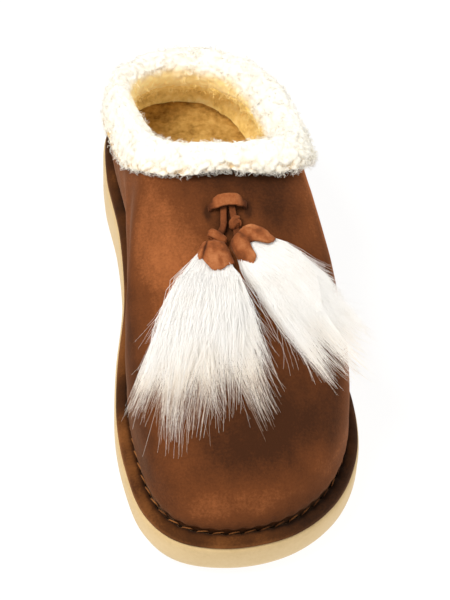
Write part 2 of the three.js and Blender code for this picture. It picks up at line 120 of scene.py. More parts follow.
def collarPlan(turn):
    angle = np.pi * (halfTurn(turn) / np.pi) ** form["collarLead"]
    cosine = np.cos(angle)
    power = 2 / np.where(cosine > 0, form["frontSquare"], form["backSquare"])
    along = np.abs(cosine) ** power
    across = np.maximum(np.sin(angle), 0) ** power
    side = np.where(onLateral(turn), 1, -1)
    y = np.where(cosine > 0, -form["collarFront"] * along, form["collarBack"] * along)
    back = smooth(y, -form["collarFront"], form["collarBack"])
    out = side * form["collarHalf"] * across
    x = form["collarX"] + form["collarLean"] * back + out
    return np.stack([x, form["collarMiddle"] + y - form["collarSkew"] * out * (1 - back)], axis=-1)


def insetPlan(plan, turn, inset):
    step = 0.02
    along = plan(turn + step) - plan(turn - step)
    outward = unit(np.stack([along[..., 1], -along[..., 0]], axis=-1))
    return plan(turn) - outward * np.asarray(inset)[..., None], outward


def acrossPlan(rows, columns, inset):  # plan points from edge to edge, in rows from toe to heel
    half = np.linspace(0, np.pi, rows)
    share = np.linspace(0, 1, columns)[None, :, None]
    outer, _ = insetPlan(outlinePlan, half, inset)
    inner, _ = insetPlan(outlinePlan, 2 * np.pi - half, inset)
    plan = inner[:, None] * (1 - share) + outer[:, None] * share
    fromInner = np.abs(plan[..., 0] - inner[:, None, 0])
    return plan, np.minimum(fromInner, np.abs(outer[:, None, 0] - plan[..., 0]))


def soleUnder(y):
    spring = form["toeSpring"] * np.maximum(0, 1 - y / form["springLength"]) ** 2
    across = np.clip((y - form["waistFrom"]) / (form["waistTo"] - form["waistFrom"]), 0, 1)
    past = np.maximum(0, (y - form["heelFlatEnd"]) / (form["length"] - form["heelFlatEnd"]))
    return spring + form["waistHollow"] * np.sin(np.pi * across) ** 2 + form["heelBevel"] * past**2


def soleTop(y):
    spring = form["springCarry"] * form["toeSpring"] * np.maximum(0, 1 - y / form["springLength"]) ** 2
    return form["foreHeight"] + spring + form["wedgeRise"] * smooth(y, form["wedgeFrom"], form["wedgeTo"])


def outlineRing(turn, inset, heightAt):
    place, _ = insetPlan(outlinePlan, turn, inset)
    return np.column_stack([place, heightAt(place[:, 1])])


def wallPoints(turn, share):  # outer face of the upper: one row of points for each share of the way up
    part = halfTurn(turn) / np.pi
    foot, footOut = insetPlan(outlinePlan, turn, form["creaseInset"])
    rim, rimOut = insetPlan(collarPlan, turn, 0)
    drop, apron = np.radians(wallCurve["drop"](part)), wallCurve["apron"](part)
    rimHigh = form["rimBack"] + (form["rimFront"] - form["rimBack"]) * (
        1 + np.cos(np.pi * part ** form["collarLead"])) / 2
    start = np.column_stack([foot, soleTop(foot[:, 1]) + form["bandHeight"]])
    end = np.column_stack([rim, rimHigh])
    lift = np.column_stack([footOut * wallCurve["lean"](part)[:, None], wallCurve["rise"](part)])
    fall = np.column_stack([rimOut * (apron * np.cos(drop))[:, None], -apron * np.sin(drop)])
    t = np.asarray(share)[:, None, None]
    u = 1 - t
    return u**3 * start + 3 * u * u * t * (start + lift) + 3 * u * t * t * (end + fall) + t**3 * end


def wayToRim(rays):  # distance up the wall, from each point to the rim
    steps = np.linalg.norm(np.diff(rays, axis=0), axis=2)
    return np.concatenate([np.cumsum(steps[::-1], axis=0)[::-1], np.zeros((1, rays.shape[1]))])


def gridNormals(points):
    around = np.roll(points, -1, axis=1) - np.roll(points, 1, axis=1)
    return unit(np.cross(around, np.gradient(points, axis=0)))


def ringTurns(count):
    return np.arange(count) * 2 * np.pi / count


noiseSet = {"shift": 7.31, "key": (127.1, 311.7, 74.7), "seedKey": 19.7, "scatter": 43758.5453}


def softNoise(points, size, seed):  # smooth noise from -1 to 1, in cells of one size
    cell = np.asarray(points) / size + seed * noiseSet["shift"]
    base = np.floor(cell)
    t = cell - base
    t = t * t * (3 - 2 * t)
    total = 0
    for corner in np.ndindex(2, 2, 2):
        key = (base + corner) @ noiseSet["key"] + seed * noiseSet["seedKey"]
        weight = np.prod(np.where(corner, t, 1 - t), axis=-1)
        total = total + weight * np.mod(np.sin(key) * noiseSet["scatter"], 1)
    return 2 * total - 1


def noiseSum(points, rows):  # rows: cell size, seed, amount
    return sum(amount * softNoise(points, size, seed) for size, seed, amount in rows)


# Meshes: moved from the shoe's own millimetres to the frame's metres
millimetre = 0.001
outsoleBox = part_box("outsole")
ringEdge = outlinePlan(ringTurns(720))[:, 0]
boxMiddle = 500 * (outsoleBox[0].x + outsoleBox[1].x)
toFrame = np.array([boxMiddle - (ringEdge.min() + ringEdge.max()) / 2, -form["length"] / 2, 0])


def gridQuads(rows, columns, closed=False):
    low = np.arange(rows if closed else rows - 1)[:, None] * columns
    high = (low + columns) % (rows * columns)
    here = np.arange(columns)[None]
    ahead = (here + 1) % columns
    return np.stack([low + here, low + ahead, high + ahead, high + here], axis=-1).reshape(-1, 4)


def openQuads(rows, columns):
    low = np.arange(rows - 1)[:, None] * columns + np.arange(columns - 1)[None]
    return np.stack([low, low + 1, low + columns + 1, low + columns], axis=-1).reshape(-1, 4)


def joined(parts):  # several (points, quads, values) as one
    points, quads, values, start = [], [], [], 0
    for partPoints, partQuads, *partValues in parts:
        partPoints = partPoints.reshape(-1, 3)
        points.append(partPoints)
        quads.append(partQuads + start)
        values.append(partValues[0] if partValues else {})
        start += len(partPoints)
    names = values[0].keys()
    merged = {name: np.concatenate([v[name].ravel() for v in values]) for name in names}
    return np.concatenate(points), np.concatenate(quads), merged


def addPiece(name, points, quads, finish, replaces=(), values=None):
    mesh = bpy.data.meshes.new(name)
    mesh.from_pydata((points.reshape(-1, 3) + toFrame) * millimetre, [], quads)
    mesh.shade_smooth()
    for key, numbers in (values or {}).items():
        layer = mesh.attributes.new(key, "FLOAT", "POINT")
        layer.data.foreach_set("value", np.ascontiguousarray(numbers, np.float32).ravel())
    mesh.materials.append(finish.material)
    piece = bpy.data.objects.new(name, mesh)
    bpy.context.collection.objects.link(piece)
    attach(piece, "root")
    if replaces:
        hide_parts(*replaces)
    print(name, "triangles", 2 * len(quads))
    return piece


# Materials: a socket that can be used in Python sums, and a finish that makes the nodes
class Value:
    def __init__(self, finish, socket):
        self.finish, self.socket = finish, socket

    def maths(self, operation, first, second):
        return self.finish.node("ShaderNodeMath", {"operation": operation}, {0: first, 1: second})

    def __add__(self, other):
        return self.maths("ADD", self, other)

    def __radd__(self, other):
        return self.maths("ADD", other, self)

    def __sub__(self, other):
        return self.maths("SUBTRACT", self, other)

    def __rsub__(self, other):
        return self.maths("SUBTRACT", other, self)

    def __mul__(self, other):
        return self.maths("MULTIPLY", self, other)

    def __rmul__(self, other):
        return self.maths("MULTIPLY", other, self)


class Finish:
    def __init__(self, name):
        self.material = bpy.data.materials.new(name)
        self.material.use_nodes = True
        self.tree = self.material.node_tree
        self.shader = self.tree.nodes["Principled BSDF"]

    def give(self, socket, value):
        if isinstance(value, Value):
            self.tree.links.new(value.socket, socket)
        else:
            socket.default_value = value

    def node(self, kind, settings, inputs, output=0):
        made = self.tree.nodes.new(kind)
        for name, setting in settings.items():
            if name == "stops":
                ramp = made.color_ramp
                for i, (place, tint) in enumerate(setting):
                    stop = ramp.elements[i] if i < 2 else ramp.elements.new(place)
                    stop.position, stop.color = place, tint
            else:
                setattr(made, name, setting)
        for name, value in inputs.items():
            self.give(made.inputs[name], value)
        return Value(self, made.outputs[output])

    def place(self):
        return self.node("ShaderNodeTexCoord", {}, {}, "Object")

    def noise(self, place, size, detail=3, rough=0.55):  # size in millimetres
        return self.node("ShaderNodeTexNoise", {}, {
            "Vector": place, "Scale": 1000 / size, "Detail": detail, "Roughness": rough})

    def stretched(self, place, scale):
        return self.node("ShaderNodeMapping", {}, {"Vector": place, "Scale": scale})

    def painted(self, name):
        return self.node("ShaderNodeAttribute", {"attribute_name": name}, {}, "Fac")

    def ramp(self, value, stops):
        return self.node("ShaderNodeValToRGB", {"stops": stops}, {"Fac": value})

    def tones(self, value, places, shades):  # from the dark over the middle to the light shade
        (low, half, high), (dark, middle, light) = places, shades
        return self.ramp(value, [(low, dark), (high, light), (half, middle)])

    def mix(self, share, first, second):
        return self.node("ShaderNodeMix", {"data_type": "RGBA"}, {0: share, 6: first, 7: second}, 2)

    def bump(self, height, strength, millimetres):
        return self.node("ShaderNodeBump", {}, {
            "Height": height, "Strength": strength, "Distance": millimetres * millimetre})

    def wear(self, inputs):
        for name, value in inputs.items():
            self.give(self.shader.inputs[name], value)
        return self


def tint(red, green, blue):  # screen colour to the linear values of the sockets
    parts = [v / 255 for v in (red, green, blue)]
    return tuple(((v + 0.055) / 1.055) ** 2.4 if v > 0.04 else v / 12.92 for v in parts) + (1,)


def tints(*colours):  # dark, middle, light
    return tuple(tint(*colour) for colour in colours)


def suede(name, shades, look):
    finish = Finish(name)
    place = finish.place()
    # the tone painted on each piece: partly the material's own, partly painted light and shade
    nap = finish.painted("nap")
    cloud = finish.noise(place, look["cloud"], 3, 0.6)
    fibre = finish.noise(place, look["fibre"], 4, 0.7)
    brushed = finish.noise(finish.stretched(place, look["brush"]), look["cloud"] * 0.25, 3, 0.6)
    tone = nap + (cloud - 0.5) * look["cloudDepth"] + (brushed - 0.5) * look["brushDepth"]
    tone = tone + (fibre - 0.5) * look["fibreDepth"]
    pile = fibre * 0.7 + finish.noise(place, look["fibre"] * 0.4, 2, 0.6) * 0.3
    return finish.wear({
        "Base Color": finish.tones(tone, look["places"], shades),
        "Roughness": 0.92, "Specular IOR Level": 0.15,
        "Sheen Weight": look["sheen"], "Sheen Roughness": 0.35, "Sheen Tint": tint(255, 196, 146),
        "Normal": finish.bump(pile, look["bump"], 0.5),
    })


suedeLook = {
    "places": (0.08, 0.5, 0.95), "cloud": 22, "cloudDepth": 0.24, "brush": (1, 0.35, 1),
    "brushDepth": 0.26, "fibre": 1.1, "fibreDepth": 0.42, "sheen": 0.13, "bump": 0.5,
}
threadLook = {**suedeLook, "cloud": 12, "cloudDepth": 0.5, "fibre": 0.7}
brownSuede = suede("brownSuede", tints((62, 32, 12), (108, 59, 27), (182, 108, 60)), suedeLook)
# the band's suede: the upper's suede painted darker, for the shade the band lies in under the vamp
shadedBandSuede = suede("shadedBandSuede", tints((36, 18, 6), (78, 43, 16), (138, 84, 40)), suedeLook)
tanSuede = suede("tanSuede", tints((76, 38, 18), (146, 82, 44), (206, 136, 86)), suedeLook)
threadBrown = suede("threadBrown", tints((36, 18, 8), (80, 44, 21), (158, 100, 52)), threadLook)

rubberLook = {
    "shades": tints((186, 155, 102), (220, 191, 141), (238, 214, 172)), "places": (0.1, 0.5, 0.95),
    "base": 0.15, "edgeDepth": 0.5, "mottle": 14, "mottleDepth": 0.3, "speck": 1.6, "speckDepth": 0.25,
}


def creamRubberFinish(look):
    finish = Finish("creamRubber")
    place = finish.place()
    mottle = finish.noise(place, look["mottle"], 4, 0.6)
    speck = finish.noise(place, look["speck"], 3, 0.6)
    edge = finish.painted("nap")  # 1 at the lower edge, 0 under the band: painted shade under the band and in the tread's grooves
    tone = edge * look["edgeDepth"] + mottle * look["mottleDepth"] + look["base"]
    tone = tone + (speck - 0.5) * look["speckDepth"]
    return finish.wear({
        "Base Color": finish.tones(tone, look["places"], look["shades"]),
        "Roughness": 0.5 + speck * 0.25, "Specular IOR Level": 0.35,
        "Normal": finish.bump(speck * 0.6 + mottle * 0.4, 0.25, 0.4),
    })


creamRubber = creamRubberFinish(rubberLook)
pileLook = {
    "places": (0.05, 0.38, 0.8), "tipDepth": 0.62, "shadeDepth": 0.28, "patchDepth": 0.4,
    "speck": 2.4, "grain": 0.8,
}


def pileFinish(name, shades, spot, insideShades=None, through=0, paintedGlow=0, mottle=0.2):
    finish = Finish(name)
    place = finish.place()
    patch = finish.noise(place, spot, 3, 0.6)
    speck = finish.noise(place, pileLook["speck"], 2, 0.6)
    tone = finish.painted("tip") * pileLook["tipDepth"] + finish.painted("shade") * pileLook["shadeDepth"]
    tone = tone + (patch - 0.5) * pileLook["patchDepth"] + (speck - 0.5) * mottle
    colour = lit = finish.tones(tone, pileLook["places"], shades)
    if insideShades:  # the pile inside has its own shades, and only it glows, a painted light inside the shoe
        inside = finish.painted("inside")
        colour = finish.mix(inside, colour, finish.tones(tone, pileLook["places"], insideShades))
        lit = finish.mix(inside, (0, 0, 0, 1), colour)
    if through:  # some of the light passes through the hairs, less through brown tips
        passed = finish.node("ShaderNodeBsdfTranslucent", {}, {"Color": shades[2]})
        shown = finish.node("ShaderNodeMixShader", {}, {
            0: finish.painted("tip") * through, 1: Value(finish, finish.shader.outputs[0]), 2: passed})
        finish.give(finish.tree.nodes["Material Output"].inputs["Surface"], shown)
    return finish.wear({
        "Base Color": colour, "Roughness": 0.95, "Specular IOR Level": 0.1,
        "Sheen Weight": 0.3, "Sheen Roughness": 0.5, "Sheen Tint": shades[2],
        # the pile gives off light of its own colour, a painted light that lifts its shade
        "Emission Color": lit, "Emission Strength": paintedGlow,
        "Normal": finish.bump(finish.noise(place, pileLook["grain"], 3, 0.7), 0.5, 0.5),
    })


honeyShades = tints((178, 142, 74), (226, 194, 116), (250, 228, 164))
# the footbed's fleece is darker than the lining's: partly its own colour, partly painted shade
footbedShades = tints((126, 94, 44), (176, 138, 72), (210, 174, 104))
shearlingShades = tints((208, 174, 118), (246, 239, 223), (253, 250, 241))
furShades = tints((128, 84, 50), (246, 237, 223), (255, 254, 252))
# each pile gives off some painted light of its own colour
whiteShearling = pileFinish("whiteShearling", shearlingShades, 9, honeyShades, paintedGlow=0.24)
honeyFleece = pileFinish("honeyFleece", honeyShades, 12, paintedGlow=0.2, mottle=0.6)
whiteFur = pileFinish("whiteFur", furShades, 16, through=0.5, paintedGlow=0.025, mottle=0)
footbedFleece = pileFinish("footbedFleece", footbedShades, 12, paintedGlow=0.05, mottle=0.9)
print("finishes")

# Camera: where the photograph's camera stood, swung from its level aim to the middle of the shoe
cameraSet = {"at": (-123, -542.5, 822), "levelAim": (-45, 166.5, 30), "aim": (2, 118, 40), "lens": 140}


def toMetres(point):
    return Vector((np.array(point, float) + toFrame) * millimetre)


def aimed(thing, at, aim):
    thing.location = at
    thing.rotation_mode = "QUATERNION"
    thing.rotation_quaternion = (aim - at).to_track_quat("-Z", "Y")
    bpy.context.collection.objects.link(thing)
    return thing


camera = bpy.data.cameras.new("camera")
camera.lens = cameraSet["lens"]
camera.sensor_width = 36
aimPoint = toMetres(cameraSet["aim"])
cameraAt, levelAim = toMetres(cameraSet["at"]), toMetres(cameraSet["levelAim"])
viewer = aimed(bpy.data.objects.new("camera", camera), cameraAt, levelAim)
swing = (levelAim - cameraAt).rotation_difference(aimPoint - cameraAt)
viewer.rotation_quaternion = swing @ viewer.rotation_quaternion
bpy.context.scene.camera = viewer

studioSet = {"worldLight": 0.42, "floorGlow": 0.88, "floorReach": 4}
lightRows = [
    {"name": "key", "at": (-460, 40, 940), "size": 0.4, "watts": 8.4, "tint": (1, 0.97, 0.93)},
    {"name": "front", "at": (-150, -700, 520), "size": 0.7, "watts": 1.5, "tint": (1, 0.98, 0.95)},
    {"name": "fill", "at": (680, 200, 460), "size": 0.9, "watts": 2.6, "tint": (1, 1, 1)},
]
for row in lightRows:
    lamp = bpy.data.lights.new(row["name"], "AREA")
    lamp.size, lamp.energy, lamp.color = row["size"], row["watts"], row["tint"]
    aimed(bpy.data.objects.new(row["name"], lamp), toMetres(row["at"]), aimPoint)
world = bpy.context.scene.world or bpy.data.worlds.new("studio")
bpy.context.scene.world = world
world.use_nodes = True
backdrop = world.node_tree.nodes["Background"]
backdrop.inputs["Color"].default_value = (1, 1, 1, 1)
backdrop.inputs["Strength"].default_value = studioSet["worldLight"]
bpy.context.scene.view_settings.view_transform = "Standard"

floorFinish = Finish("paleFloor")
floorCloud = floorFinish.noise(floorFinish.place(), 300, 2, 0.5)
floorFinish.wear({
    "Base Color": floorFinish.ramp(floorCloud, [(0, tint(104, 103, 101)), (1, tint(112, 111, 109))]),
    "Roughness": 0.9, "Emission Color": (1, 1, 1, 1), "Emission Strength": studioSet["floorGlow"]})
floorMesh = bpy.data.meshes.new("floor")
floorSides = [(x * studioSet["floorReach"], y * studioSet["floorReach"], 0)
              for x, y in ((-1, -1), (1, -1), (1, 1), (-1, 1))]
floorMesh.from_pydata(floorSides, [], [(0, 1, 2, 3)])
floorMesh.materials.append(floorFinish.material)
floor = bpy.data.objects.new("floor", floorMesh)
bpy.context.collection.objects.link(floor)
print("camera, lights and floor")

# Height of the vamp over any plan point, for what lies on it
reliefSet = {  # cells of one millimetre
    "low": (-75, -10), "shape": (150, 285), "turns": 1440, "rows": 320, "spill": 40, "fall": 1.6,
}


def vampRelief():
    points = wallPoints(ringTurns(reliefSet["turns"]), np.linspace(0, 1, reliefSet["rows"])).reshape(-1, 3)
    cell = np.round(points[:, :2] - reliefSet["low"]).astype(int)
    relief = np.full(reliefSet["shape"], -np.inf)
    np.maximum.at(relief, (cell[:, 0], cell[:, 1]), points[:, 2])
    for _ in range(reliefSet["spill"]):  # carry on outside the shoe as a steep fall
        near = [np.roll(relief, step, axis) for step in (1, -1) for axis in (0, 1)]
        relief = np.where(np.isinf(relief), np.maximum.reduce(near) - reliefSet["fall"], relief)
    return relief


relief = vampRelief()


def heightOver(x, y):
    u, v = [np.clip(np.asarray(at, float) - low, 0, size - 1.01)
            for at, low, size in zip((x, y), reliefSet["low"], reliefSet["shape"])]
    i, j = np.floor(u).astype(int), np.floor(v).astype(int)
    a, b = u - i, v - j
    low = relief[i, j] * (1 - a) + relief[i + 1, j] * a
    high = relief[i, j + 1] * (1 - a) + relief[i + 1, j + 1] * a
    return low * (1 - b) + high * b


def vampFrame(x, y, heading=0):  # rows: place, across, up from the suede, ahead
    reach = 5
    slopeX = (heightOver(x + reach, y) - heightOver(x - reach, y)) / (2 * reach)
    slopeY = (heightOver(x, y + reach) - heightOver(x, y - reach)) / (2 * reach)
    up = unit(np.array([-slopeX, -slopeY, 1.0]))
    turn = math.radians(heading)
    ahead = np.array([math.sin(turn), -math.cos(turn), 0.0])
    ahead = unit(ahead - up * (ahead @ up))
    return np.array([x, y, float(heightOver(x, y))]), np.cross(up, ahead), up, ahead


def inFrame(axes, across, up, ahead):
    place, sideAxis, upAxis, aheadAxis = axes
    parts = [np.asarray(v, float)[..., None] for v in (across, up, ahead)]
    return place + parts[0] * sideAxis + parts[1] * upAxis + parts[2] * aheadAxis


def hump(distance, width):
    return np.exp(-((distance / width) ** 2))


def ribbons(paths, widths, facing):  # flat hairs: paths (hair, step, xyz)
    side = unit(np.cross(np.gradient(paths, axis=1), facing))
    edge = side * (widths / 2)[..., None]
    points = np.stack([paths - edge, paths + edge], axis=2)
    count, steps = paths.shape[:2]
    index = np.arange(count * steps * 2).reshape(count, steps, 2)
    quads = np.stack([index[:, :-1, 0], index[:, :-1, 1], index[:, 1:, 1], index[:, 1:, 0]], axis=-1)
    return points, quads.reshape(-1, 4)


def pickOnGrid(points, quads, count, rng, wanted=None):  # spots on a mesh, evenly by area
    corners = points.reshape(-1, 3)[quads]
    first, second = corners[:, 2] - corners[:, 0], corners[:, 3] - corners[:, 1]
    normal = np.cross(first, second)
    area = np.linalg.norm(normal, axis=1)
    if wanted is not None:
        area = area * wanted
    face = rng.choice(len(quads), count, p=area / area.sum())
    u, v = rng.random((2, count, 1))
    c = corners[face]
    spots = (1 - u) * ((1 - v) * c[:, 0] + v * c[:, 3]) + u * ((1 - v) * c[:, 1] + v * c[:, 2])
    return spots, unit(normal[face]), face


def curls(spots, normals, look, rng):  # small curled locks: clumps of hairs that turn round one axis
    clumps, hairs, steps = len(spots), look["hairs"], look["steps"]
    t = np.linspace(0, 1, steps)
    side = unit(np.cross(normals, unit(rng.normal(size=(clumps, 3)))))
    other = np.cross(normals, side)
    lean = side * rng.normal(0, look["lean"], (clumps, 1)) + other * rng.normal(0, look["lean"], (clumps, 1))
    lean = lean + np.array(look["drift"])
    long = look["long"] * rng.uniform(0.7, 1.25, (clumps, 1))
    phase = rng.uniform(0, 2 * np.pi, (clumps, 1)) + rng.normal(0, 0.5, (clumps, hairs))
    twist = look["twist"] * rng.choice((-1, 1), (clumps, 1)) * rng.uniform(0.7, 1.3, (clumps, 1))
    ring = look["curl"] * rng.uniform(0.6, 1.3, (clumps, hairs))
    root = rng.normal(0, look["spread"], (clumps, hairs, 2))
    angle = phase[..., None] + twist[..., None] * 2 * np.pi * t
    swell = np.sin(np.pi * np.minimum(t * 0.85 + 0.05, 1)) * ring[..., None]
    gather = 1 - 0.6 * t
    a = root[..., :1] * gather + swell * np.cos(angle)
    b = root[..., 1:] * gather + swell * np.sin(angle)
    rise = (long * rng.uniform(0.75, 1.1, (clumps, hairs)))[..., None] * t
    leanBy = rise * t
    paths = (spots[:, None, None] + normals[:, None, None] * rise[..., None] * 0.9
             + side[:, None, None] * a[..., None] + other[:, None, None] * b[..., None]
             + lean[:, None, None] * leanBy[..., None] - normals[:, None, None] * look["sunk"])
    paths = paths.reshape(-1, steps, 3)
    facing = np.repeat(normals, hairs, axis=0)[:, None] + rng.normal(0, 0.5, (clumps * hairs, 1, 3))
    widths = look["width"] * (1 - 0.7 * t**2) * rng.uniform(0.7, 1.2, (clumps * hairs, 1))
    points, quads = ribbons(paths, widths, np.broadcast_to(facing, paths.shape))
    # darker at the roots: painted shade deep in the pile
    tip = np.broadcast_to(t[None, :, None], (clumps * hairs, steps, 2))
    shade = np.broadcast_to(rng.random((clumps * hairs, 1, 1)), tip.shape)
    return points, quads, {"tip": tip, "shade": shade}


# Outsole: moulded side, and wavy ribs under it
outsoleSet = {
    "turns": 420, "rows": 260, "columns": 90, "topStep": (4, 9), "sideParts": (0.35, 0.7),
    "ribPitch": 6.5, "ribDepth": 0.9, "ribEdge": (0.1, 0.6), "ribWave": 2.6, "wavePitch": 21,
    "border": 6, "fade": 1.5, "endTrim": 2, "endShare": 0.8, "plain": (112, 168), "plainFade": 8,
    "treadNap": 0.9, "grooveShade": 0.5,
}
outsoleLow = [(3.2, 0), (2.0, 0.4), (0.9, 1.4), (0.25, 3), (0, 4.5)]  # inset, height over the tread
outsoleHigh = [(0, -3.5), (0.12, -2), (0.5, -0.8), (0.95, -0.25), (1.6, 0)]  # inset, height over the top


def outsoleSide():
    turn = ringTurns(outsoleSet["turns"])
    rows = [outlineRing(turn, inset, lambda y, up=up: soleUnder(y) + up) for inset, up in outsoleLow]
    lowUp, highUp = outsoleLow[-1][1], outsoleHigh[0][1]
    for part in outsoleSet["sideParts"]:
        rows.append(outlineRing(turn, 0, lambda y, part=part: (
            (soleUnder(y) + lowUp) * (1 - part) + (soleTop(y) + highUp) * part)))
    rows += [outlineRing(turn, inset, lambda y, up=up: soleTop(y) + up) for inset, up in outsoleHigh]
    # lighter at the lower edge, painted shade up under the band
    nap = np.linspace(1, 0, len(rows))[:, None] * np.ones(len(turn))
    return np.array(rows), gridQuads(len(rows), len(turn)), {"nap": nap}


def outsoleTread():  # ribs inside a plain border, none under the waist
    plan, edge = acrossPlan(outsoleSet["rows"], outsoleSet["columns"], outsoleLow[0][0])
    x, y = plan[..., 0], plan[..., 1]
    trim = outsoleSet["endTrim"]
    edge = np.minimum(edge, np.minimum(y - trim, form["length"] - trim - y) * outsoleSet["endShare"])
    wave = y + outsoleSet["ribWave"] * np.sin(2 * np.pi * x / outsoleSet["wavePitch"])
    groove = smooth(np.cos(2 * np.pi * wave / outsoleSet["ribPitch"]), *outsoleSet["ribEdge"])
    (first, last), fade = outsoleSet["plain"], outsoleSet["plainFade"]
    waist = smooth(y, first, first + fade) * (1 - smooth(y, last - fade, last))
    within = smooth(edge, outsoleSet["border"], outsoleSet["border"] + outsoleSet["fade"])
    groove = groove * within * (1 - waist)
    points = np.stack([x, y, soleUnder(y) + groove * outsoleSet["ribDepth"]], axis=-1)
    # painted shade in the grooves
    nap = outsoleSet["treadNap"] - outsoleSet["grooveShade"] * groove
    return points, openQuads(*x.shape)[:, ::-1], {"nap": nap}


def outsoleTop():
    plan, _ = acrossPlan(outsoleSet["rows"], outsoleSet["columns"], outsoleHigh[-1][0])
    rowStep, columnStep = outsoleSet["topStep"]
    plan = plan[::rowStep, ::columnStep]
    y = plan[..., 1]
    return np.dstack([plan, soleTop(y)]), openQuads(*y.shape), {"nap": np.zeros_like(y)}


def makeOutsole():
    points, quads, values = joined([outsoleSide(), outsoleTread(), outsoleTop()])
    return addPiece("outsole_cream", points, quads, creamRubber, ["outsole"], values)


makeOutsole()

# Stitches in the crease: how many fit round, and how far each point of the crease lies along it
stitchSet = {
    "pitch": 6.6, "long": 5.6, "longVary": (0.94, 1.05), "thick": 0.58, "flat": 0.85, "rise": 0.5,
    "sunk": 0.55, "out": 0.35, "endDip": 0.9, "slant": 0.8, "slantVary": 0.1, "steps": 9, "sides": 8,
    "nap": 0.5, "napVary": 0.1, "middleHighlight": 0.24, "paintedSideShade": 0.004, "seed": 7,
}
creaseTurns = ringTurns(2400)
creaseLine = outlineRing(creaseTurns, form["creaseInset"], lambda y: soleTop(y) + form["bandHeight"])
creaseSteps = np.linalg.norm(np.roll(creaseLine, -1, axis=0) - creaseLine, axis=1)
creaseAlong = np.concatenate([[0], np.cumsum(creaseSteps)])
stitchCount = int(round(creaseAlong[-1] / stitchSet["pitch"]))


def stitchWave(turn):  # 1 where the thread goes in, -1 at the middle of a stitch
    along = np.interp(np.mod(turn, 2 * np.pi), np.append(creaseTurns, 2 * np.pi), creaseAlong)
    return np.cos(2 * np.pi * along / creaseAlong[-1] * stitchCount)


# Band of suede over the platform's edge
bandSet = {
    "turns": 960, "rows": 22, "pucker": 0.35, "innerFrom": 0.45, "wander": [(16, 3, 0.3)],
    "edge": (0, 0.05, 0.25, 0.7), "across": (0.22, 0.4, 0.58, 0.8, 1),  # millimetres, shares of the width
    "up": (0.28, 0.52, 0.68, 0.82, 0.95, 1, 0.99, 0.84),  # shares of the height
    # painted light and shade: lighter on the inner side and along the rolled edge, darker to the outer side
    # and in the crease
    "nap": 0.48, "patches": [(24, 5, 0.3), (9, 6, 0.2)], "paintedSideShade": 0.14, "sideReach": 55,
    "paintedLitEdge": (0.12, 0.14, 0.18), "darkFrom": 0.72, "dark": 0.34, "footNap": 0.1,
}


def makeBand():
    turn = ringTurns(bandSet["turns"])
    width = form["creaseInset"] - form["gap"] - form["bandSetback"]
    reach = np.concatenate([bandSet["edge"], width * np.array(bandSet["across"])])
    rise = np.concatenate([[form["gap"]], form["bandHeight"] * np.array(bandSet["up"])])
    knots = np.linspace(0, 1, len(reach))
    share = np.linspace(0, 1, bandSet["rows"])
    inward, upward = curveThrough(knots, reach)(share), curveThrough(knots, rise)(share)
    wave = stitchWave(turn)
    ring = outlinePlan(turn)
    wander = noiseSum(np.column_stack([ring, np.zeros(len(turn))]), bandSet["wander"])
    lightAt, lightWide, light = bandSet["paintedLitEdge"]
    rows, nap = [], []
    for part, inBy, upBy in zip(share, inward, upward):
        inner = smooth(part, bandSet["innerFrom"], 1)
        inset = form["bandSetback"] + inBy + wander * 0.5 * (1 - inner)
        lift = upBy - bandSet["pucker"] * (wave + 1) * inner + wander * smooth(part, 0.1, 0.5)
        place, _ = insetPlan(outlinePlan, turn, inset)
        rows.append(np.column_stack([place, soleTop(place[:, 1]) + lift]))
        patch = noiseSum(rows[-1], bandSet["patches"])
        # painted shade towards the outer side, away from the light
        side = rows[-1][:, 0] / bandSet["sideReach"]
        # painted highlight along the rolled edge
        paintedLightAndShade = light * hump(part - lightAt, lightWide)
        paintedLightAndShade = paintedLightAndShade - bandSet["dark"] * smooth(part, bandSet["darkFrom"], 1)  # painted shade in the crease
        nap.append(bandSet["nap"] + patch - bandSet["paintedSideShade"] * side + paintedLightAndShade)
    rows.append(outlineRing(turn, form["bandSetback"] + width, lambda y: soleTop(y) + form["gap"]))
    nap.append(np.full(len(turn), bandSet["footNap"]))
    points = np.array(rows)
    return addPiece("band_suede", points, gridQuads(len(rows), len(turn), closed=True), shadedBandSuede,
                    ["welt"], {"nap": np.array(nap)})


makeBand()

# Upper: creases listed one by one, as soft troughs with a low ridge beside them
upperSet = {
    "turns": 640, "rows": 120, "rowPower": 1.15, "innerRows": 14, "thick": 1.5,
    "pinch": 0.9, "pinchWide": 1.6, "pucker": 0.3, "puckerWide": 4.5, "roll": 0.7, "rollAt": 6,
    "rollWide": 4, "loose": (4, 20), "waves": [(28, 11, 0.45), (10, 12, 0.14)],
    "footNap": 0.1, "hiddenNap": 0.4,
}
creaseRows = [  # plan points on the vamp, depth and width of the trough
    {"line": [(-5, 137), (-13, 139), (-22, 145)], "deep": 0.55, "wide": 2.2},
    {"line": [(-5, 135), (-14, 133), (-24, 134)], "deep": 0.45, "wide": 2.4},
    {"line": [(13, 137), (22, 138), (33, 141)], "deep": 0.6, "wide": 2.6},
    {"line": [(13, 135), (24, 132), (36, 131)], "deep": 0.5, "wide": 2.8},
    {"line": [(18, 146), (28, 147), (38, 150)], "deep": 0.5, "wide": 3.2},
    {"line": [(-38, 96), (-20, 88), (0, 86), (22, 88), (38, 96)], "deep": 0.7, "wide": 9},
    {"line": [(-44, 84), (-34, 78), (-24, 76)], "deep": 0.5, "wide": 4},
    {"line": [(26, 70), (36, 72), (45, 80)], "deep": 0.5, "wide": 4},
    {"line": [(-12, 36), (8, 33), (26, 38)], "deep": 0.5, "wide": 10},
]
